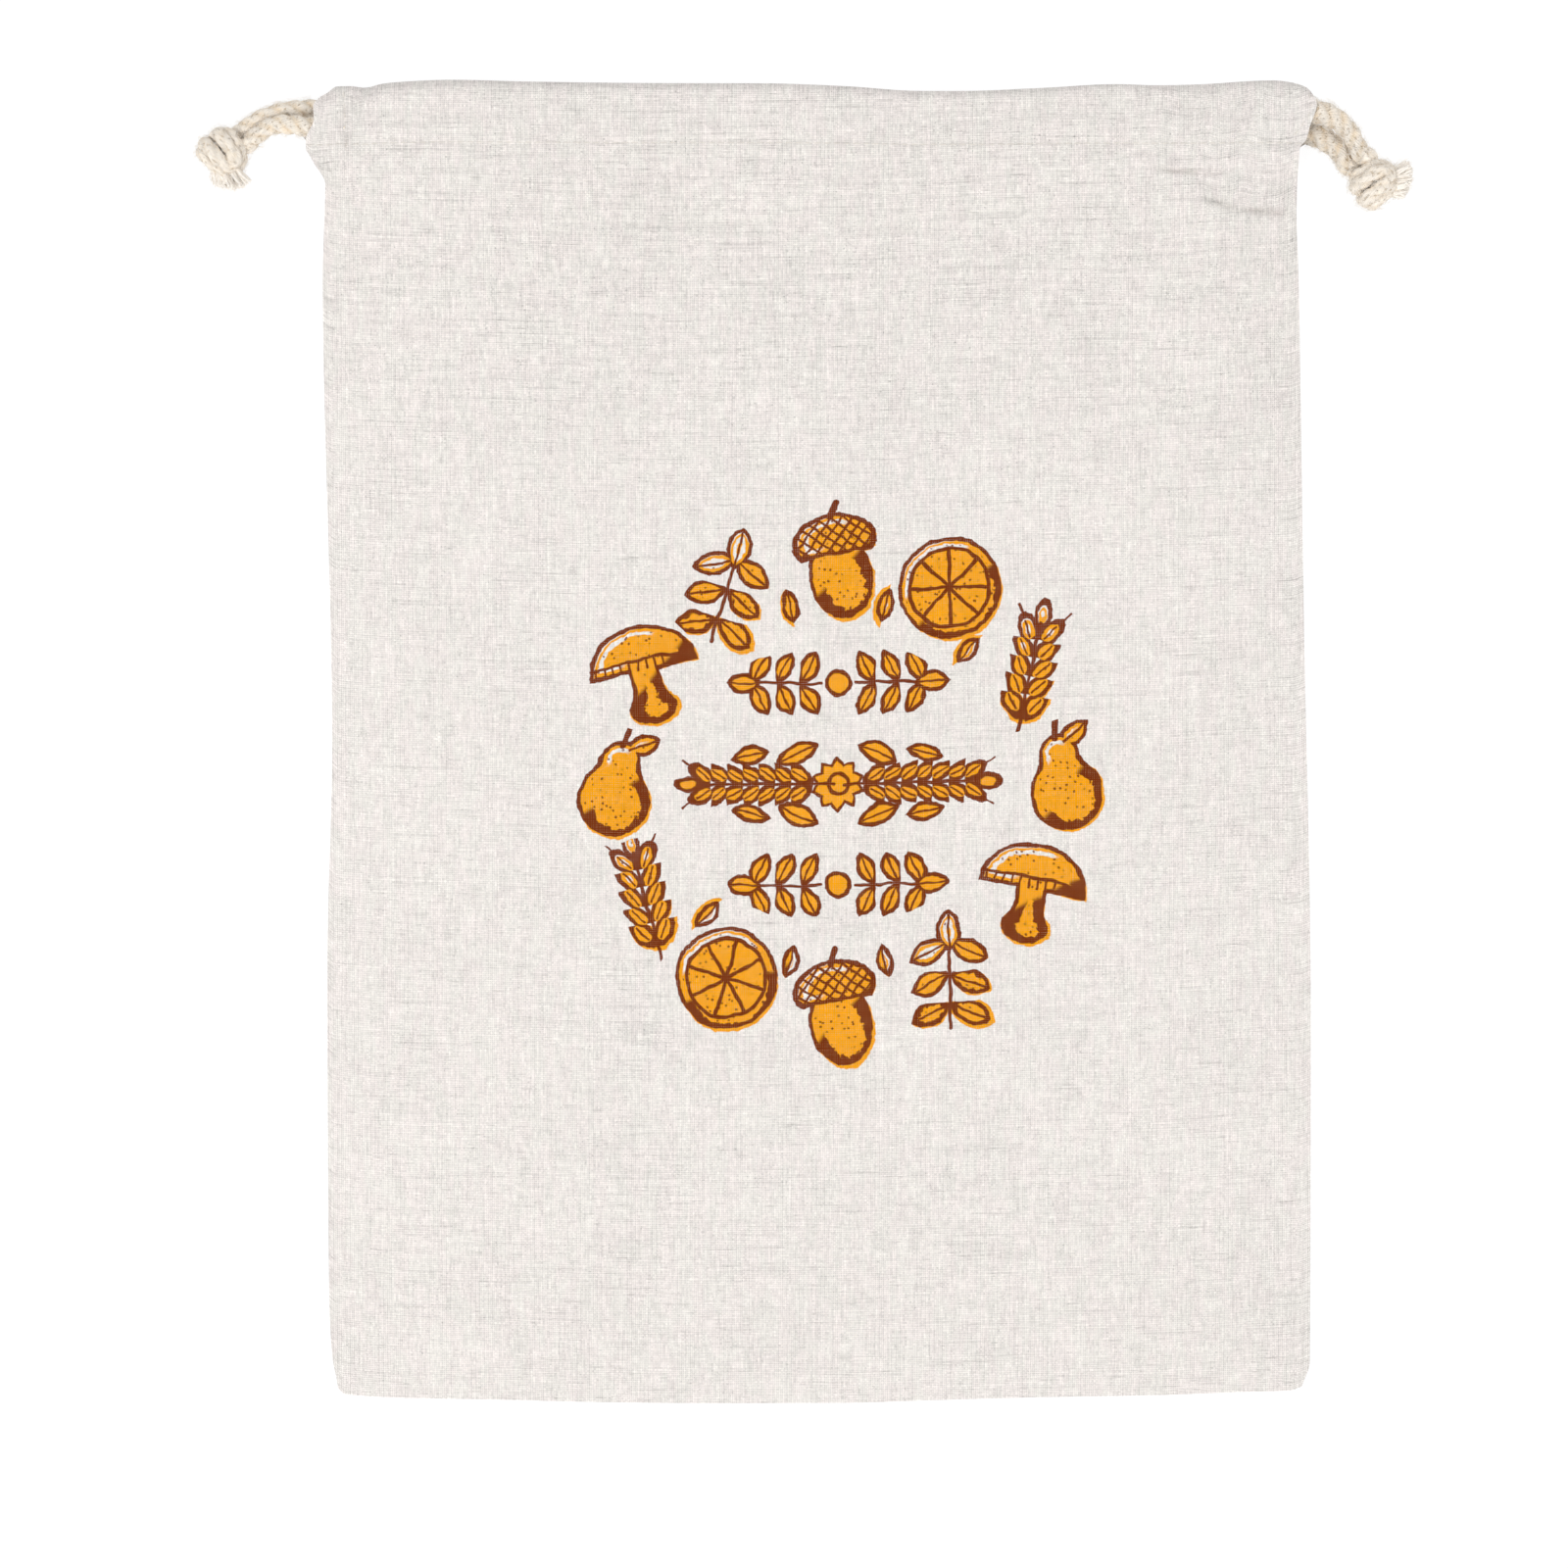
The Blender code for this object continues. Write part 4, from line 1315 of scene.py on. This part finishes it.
def grown(name, source, tree, values):
    """The plain mesh that a geometry tree makes from a source mesh."""
    host = hosted(source)
    made = host.modifiers.new("grown", "NODES")
    made.node_group = tree
    for item in tree.interface.items_tree:
        if item.in_out == "INPUT" and item.name in values:
            made[item.identifier] = values[item.name]
    return add_piece(name, settled(host), None)


def line_mesh(name, lines):
    """Open lines as a mesh of edges."""
    mesh = bpy.data.meshes.new(name)
    points, edges = [], []
    for line in lines:
        first = len(points)
        points += [Vector(p) * MM for p in line]
        edges += [(first + n, first + n + 1) for n in range(len(line) - 1)]
    mesh.from_pydata(points, edges, [])
    return mesh


class BREADBAG_OT_stage(bpy.types.Operator):
    """Lay the pale floor and set the lights and the camera"""

    bl_idname = "breadbag.stage"
    bl_label = "Stage"

    def execute(self, context):
        scene = context.scene
        mesh = bpy.data.meshes.new("floor")
        top = bmesh.new()
        bmesh.ops.create_grid(top, x_segments=1, y_segments=1, size=2.0)
        top.to_mesh(mesh)
        top.free()
        floor = bpy.data.objects.new("floor", mesh)
        mesh.materials.append(floor_finish())
        scene.collection.objects.link(floor)

        world = bpy.data.worlds.new("studio")
        world.use_nodes = True
        sky = world.node_tree.nodes["Background"]
        sky.inputs["Color"].default_value = (0.98, 0.99, 1.0, 1.0)
        sky.inputs["Strength"].default_value = 0.64
        scene.world = world
        aim = Vector((-0.04, 0.0, 0.0))
        # Rows: name, place, size, watts, colour
        lamps = (
            ("key_light", (-1.3, -1.4, 3.1), 1.2, 58.0, (1.0, 0.985, 0.965)),
            ("fill_light", (1.3, 0.3, 1.9), 1.6, 11.0, (1.0, 0.98, 0.97)),
        )
        for name, place, size, watts, colour in lamps:
            data = bpy.data.lights.new(name, "AREA")
            data.size = size
            data.energy = watts
            data.color = colour
            lamp = bpy.data.objects.new(name, data)
            lamp.location = place
            lamp.rotation_euler = (aim - Vector(place)).to_track_quat("-Z", "Y").to_euler()
            scene.collection.objects.link(lamp)

        lens = bpy.data.cameras.new("camera")
        lens.sensor_width = 36.0
        lens.lens = lens.sensor_width * (CAMERA_HEIGHT - CLOTH_HEIGHT) / VIEW_WIDTH
        lens.clip_end = 20.0
        camera = bpy.data.objects.new("camera", lens)
        camera.location = (*VIEW_MIDDLE, CAMERA_HEIGHT)
        scene.collection.objects.link(camera)
        scene.camera = camera
        scene.view_settings.view_transform = "Standard"
        return {"FINISHED"}


class BREADBAG_OT_panels(bpy.types.Operator):
    """Lay the back and the front panel with their folded casings"""

    bl_idname = "breadbag.panels"
    bl_label = "Panels"

    def execute(self, context):
        sizes = context.scene.bread_bag_cloth
        thickness = sizes.thickness / MM

        def front_level(x, height):
            return front_height(x, height, thickness)

        def front_cloth(x, y, height):
            return front_surface(x, y, height, sizes)

        def back_cloth(x, y, height):
            return back_height(x, height)

        # Rows: name, cloth's shape, hem's level, way in, sides, node, printed
        rows = (
            ("back_cloth", back_cloth, back_height, 1, BACK_SIDES, "back_panel", False),
            ("front_cloth", front_cloth, front_level, -1, FRONT_SIDES, "front_panel", True),
        )
        for name, surface, level, inwards, sides, node, printed in rows:
            host = hosted(sheet_mesh(name, surface, level, inwards, sides))
            solid = host.modifiers.new("thickness", "SOLIDIFY")
            solid.thickness = sizes.thickness
            solid.offset = 0
            solid.use_even_offset = True
            mesh = settled(host)
            mesh.set_sharp_from_angle(angle=math.radians(60))
            finish = linen(name + "_linen", sizes, printed)
            made = add_piece(name, mesh, finish, (node,))
        return {"FINISHED"}


class BREADBAG_OT_stitching(bpy.types.Operator):
    """Sew the casings' hems and the ends of the casings"""

    bl_idname = "breadbag.stitching"
    bl_label = "Stitching"

    def execute(self, context):
        cloth = context.scene.bread_bag_cloth
        sizes = context.scene.bread_bag_stitches
        out = (cloth.thickness / 2 + sizes.thread * 0.2) / MM
        shares = [n / 240 for n in range(1, 240)]
        front, back = [], []
        for share in shares:
            x, y = outline_point(share, STITCH_Y, FRONT_SIDES)
            front.append((x, y, front_surface(x, y, STITCH_Y, cloth) + out))
            back.append((x, y, max(back_height(x, STITCH_Y) - out, sizes.thread / MM / 2)))

        def on_front(points):
            line = []
            for x, y in points:
                line.append((x, y, front_surface(x, y, y, cloth) + out))
            return line

        left_end = [(-140.4 - 0.03 * (y - 180), y) for y in range(181, 198)]
        right_end = [(148.2, 185.6), (150.4, 188.4), (152.2, 191.2), (152.8, 194.2), (152.2, 196.8)]
        lines = [front, back, on_front(left_end), on_front(right_end)]
        finish = thread_finish("sewing_thread", (0.80, 0.755, 0.70))
        made = grown(
            "stitches",
            line_mesh("stitch_lines", lines),
            stitch_tree(),
            {"Pitch": sizes.pitch, "Length": sizes.reach, "Thread": sizes.thread, "Finish": finish},
        )
        made.data.shade_smooth()
        return {"FINISHED"}


class BREADBAG_OT_cords(bpy.types.Operator):
    """Lay the two drawstrings, tie their knots and fray their ends"""

    bl_idname = "breadbag.cords"
    bl_label = "Cords and knots"

    def execute(self, context):
        sizes = context.scene.bread_bag_cords
        # painted light and shade: the knots' cotton a little lighter, and the right cord's a little
        # darker, than the cotton's own colour, as the light falls on them
        knot_lit_colour = [min(channel * 1.035, 1.0) for channel in sizes.colour]
        loose = [channel * 0.65 + 0.31 for channel in sizes.colour]
        knot_finish = cotton("cotton_knot", knot_lit_colour, 0.2, 0.06)
        loose_finish = fibre_finish("cotton_fibres", loose)
        # Rows: side, route, knot, exit, length, radius outside, painted shade tone, painted shade where
        # pressed, way out, seed
        rows = (
            ("right", RIGHT_CORD, RIGHT_KNOT, RIGHT_EXIT, RIGHT_LENGTH, RIGHT_STRAND, 0.93, 0.45, 1, 5),
            ("left", LEFT_CORD, LEFT_KNOT, LEFT_EXIT, LEFT_LENGTH, LEFT_STRAND, 1.0, 0.1, -1, 23),
        )
        for side, route, knot, leave, length, strand, tone, press_shade, sign, seed in rows:
            rope_shaded_colour = [channel * tone for channel in sizes.colour]
            rope_finish = cotton(f"cotton_rope_{side}", rope_shaded_colour, 0.6, press_shade)
            place = knot_place(knot)
            upper = [place @ p for p in strand_in_knot(UPPER_LEAD, 1)]
            lower = [place @ p for p in strand_in_knot(LOWER_LEAD, -1)]
            spots = list(reversed(upper)) + [Vector(p) for p in route] + lower
            path, starts = smooth_path(spots, 0.6, math.radians(9))
            first, last = starts[len(upper)], starts[len(upper) + len(route) - 1]
            kept = []
            for n, spot in enumerate(path):
                hidden = sign * spot.x < HIDDEN_TO and TURN_REACH < abs(spot.x + sign * TURN_AT)
                if not hidden or n % 2 == 0 or n in (first, last):
                    kept.append(n)
            first, last = kept.index(first), kept.index(last)
            path = [path[n] for n in kept]
            reach = [0.0]
            for a, b in zip(path, path[1:]):
                reach.append(reach[-1] + (b - a).length)

            def radius_at(n):
                """Full outside the casing, pressed inside it and drawn thinner in the knot."""
                outside = ease_in((sign * path[n].x - LEAVES_AT) / LEAVES_OVER)
                full = between(CORD / 2, strand[0], outside)
                by_knot = ease_in((sign * path[n].x - NEARS_KNOT_AT) / NEARS_KNOT_OVER)
                full = between(full, strand[1], by_knot)
                inside = max(reach[first] - reach[n], reach[n] - reach[last], 0.0)
                return between(full, KNOT_STRAND, ease_in(inside / 5))

            rings = rings_along(path, radius_at, sizes.plies, sizes.lay / MM)

            radii = [radius_at(n) for n in range(len(path))]
            shade_marks = shade_where_pressed(rings, path, reach, radii)

            def shows(spot):
                return sign * spot.x > FLUFF_FROM

            def run(start, end):
                return rings[start:end], shade_marks[start:end]

            cord_mesh = rope_mesh("cord", [run(first, last + 1)], shows)
            cord = add_piece(f"cord_{side}_rope", cord_mesh, rope_finish, (f"cord_{side}",))
            knot_mesh = rope_mesh("knot", [run(0, first + 1), run(last, len(path))])
            tied = add_piece(f"knot_{side}_rope", knot_mesh, knot_finish, (f"knot_{side}",))
            tuft = self.fray(side, place, seed, loose_finish)
            both = bmesh.new()
            both.from_mesh(cord_mesh)
            both.from_mesh(knot_mesh)
            ground = bpy.data.meshes.new("fluff_ground")
            both.to_mesh(ground)
            both.free()
            fluff = grown(
                f"fluff_{side}",
                ground,
                self.fluff,
                {"Density": sizes.fluff * 1e4, "Seed": seed, "Finish": loose_finish},
            )
            for vertex in fluff.data.vertices:
                vertex.co.z = max(vertex.co.z, LEAST_Z * MM)
        return {"FINISHED"}

    @property
    def fluff(self):
        found = bpy.data.node_groups.get("fluff_on_rope")
        return found or fluff_tree()

    def fray(self, side, place, seed, finish):
        """The cut end of the cord, fanned out into its yarns and fibres."""
        chance = random.Random(seed)
        data = bpy.data.curves.new("tuft", "CURVE")
        data.dimensions = "3D"
        data.bevel_depth = MM
        data.bevel_resolution = 1
        data.use_fill_caps = True
        # Rows: count, spread in degrees, spare length least and most, radius at root and tip
        kinds = ((54, 16, -0.5, 0.5, 0.62, 0.3), (240, 26, -1.2, 1.6, 0.08, 0.03))
        for count, spread, least, most, root, tip in kinds:
            for n in range(count):
                fan = 2 * (n + 0.5) / count - 1
                heading = math.radians(TUFT_HEADING + spread * fan + chance.uniform(-7, 7))
                climb = math.radians(chance.uniform(-22, 24))
                way = Vector(
                    (
                        math.cos(heading) * math.cos(climb),
                        math.sin(heading) * math.cos(climb),
                        math.sin(climb),
                    )
                )
                across = way.cross(Vector((0, 0, 1))).normalized()
                start = Vector(TUFT_ROOT) - across * (TUFT_HALF_WIDTH * fan)
                start += Vector((0, 0, 1.7 * math.sin(climb) / math.sin(math.radians(24))))
                long = 5.9 + 1.9 * fan + chance.uniform(least, most)
                bow = chance.uniform(-1.1, 1.1)
                lift = chance.uniform(-0.7, 0.7)
                curl = chance.uniform(0, math.tau)
                line = data.splines.new("POLY")
                steps = 7
                line.points.add(steps - 1)
                for k, point in enumerate(line.points):
                    t = k / (steps - 1)
                    spot = start + way * long * t
                    spot += across * (bow * t * t + 0.25 * math.sin(curl + 5 * t) * t)
                    spot.z += lift * t * t
                    spot = place @ spot
                    spot.z = max(spot.z, 0.3)
                    point.co = (*(spot * MM), 1)
                    point.radius = between(root, tip, t**1.5)
        mesh = settled(hosted(data))
        mesh.shade_smooth()
        return add_piece(f"tuft_{side}", mesh, finish)


class BREADBAG_PT_panel(bpy.types.Panel):
    """The bread bag's sizes and steps"""

    bl_label = "Bread Bag"
    bl_idname = "BREADBAG_PT_panel"
    bl_space_type = "VIEW_3D"
    bl_region_type = "UI"
    bl_category = "Bread Bag"

    def draw(self, context):
        layout = self.layout
        for group in GROUPS:
            holder = getattr(context.scene, group)
            box = layout.box()
            for name in holder.__annotations__:
                box.prop(holder, name)
        for step in STEPS:
            layout.operator(step.bl_idname)


GROUPS = {
    "bread_bag_cloth": ClothSizes, "bread_bag_stitches": StitchSizes, "bread_bag_cords": CordSizes
}
STEPS = (BREADBAG_OT_stage, BREADBAG_OT_cords, BREADBAG_OT_panels, BREADBAG_OT_stitching)
CLASSES = (*GROUPS.values(), *STEPS, BREADBAG_PT_panel)


def register():
    for kind in CLASSES:
        bpy.utils.register_class(kind)
    for name, kind in GROUPS.items():
        setattr(bpy.types.Scene, name, PointerProperty(type=kind))


def unregister():
    for name in GROUPS:
        delattr(bpy.types.Scene, name)
    for kind in reversed(CLASSES):
        bpy.utils.unregister_class(kind)


def main():
    register()
    bpy.ops.breadbag.stage()
    bpy.ops.breadbag.cords()
    bpy.ops.breadbag.panels()
    bpy.ops.breadbag.stitching()


if __name__ == "__main__":
    main()
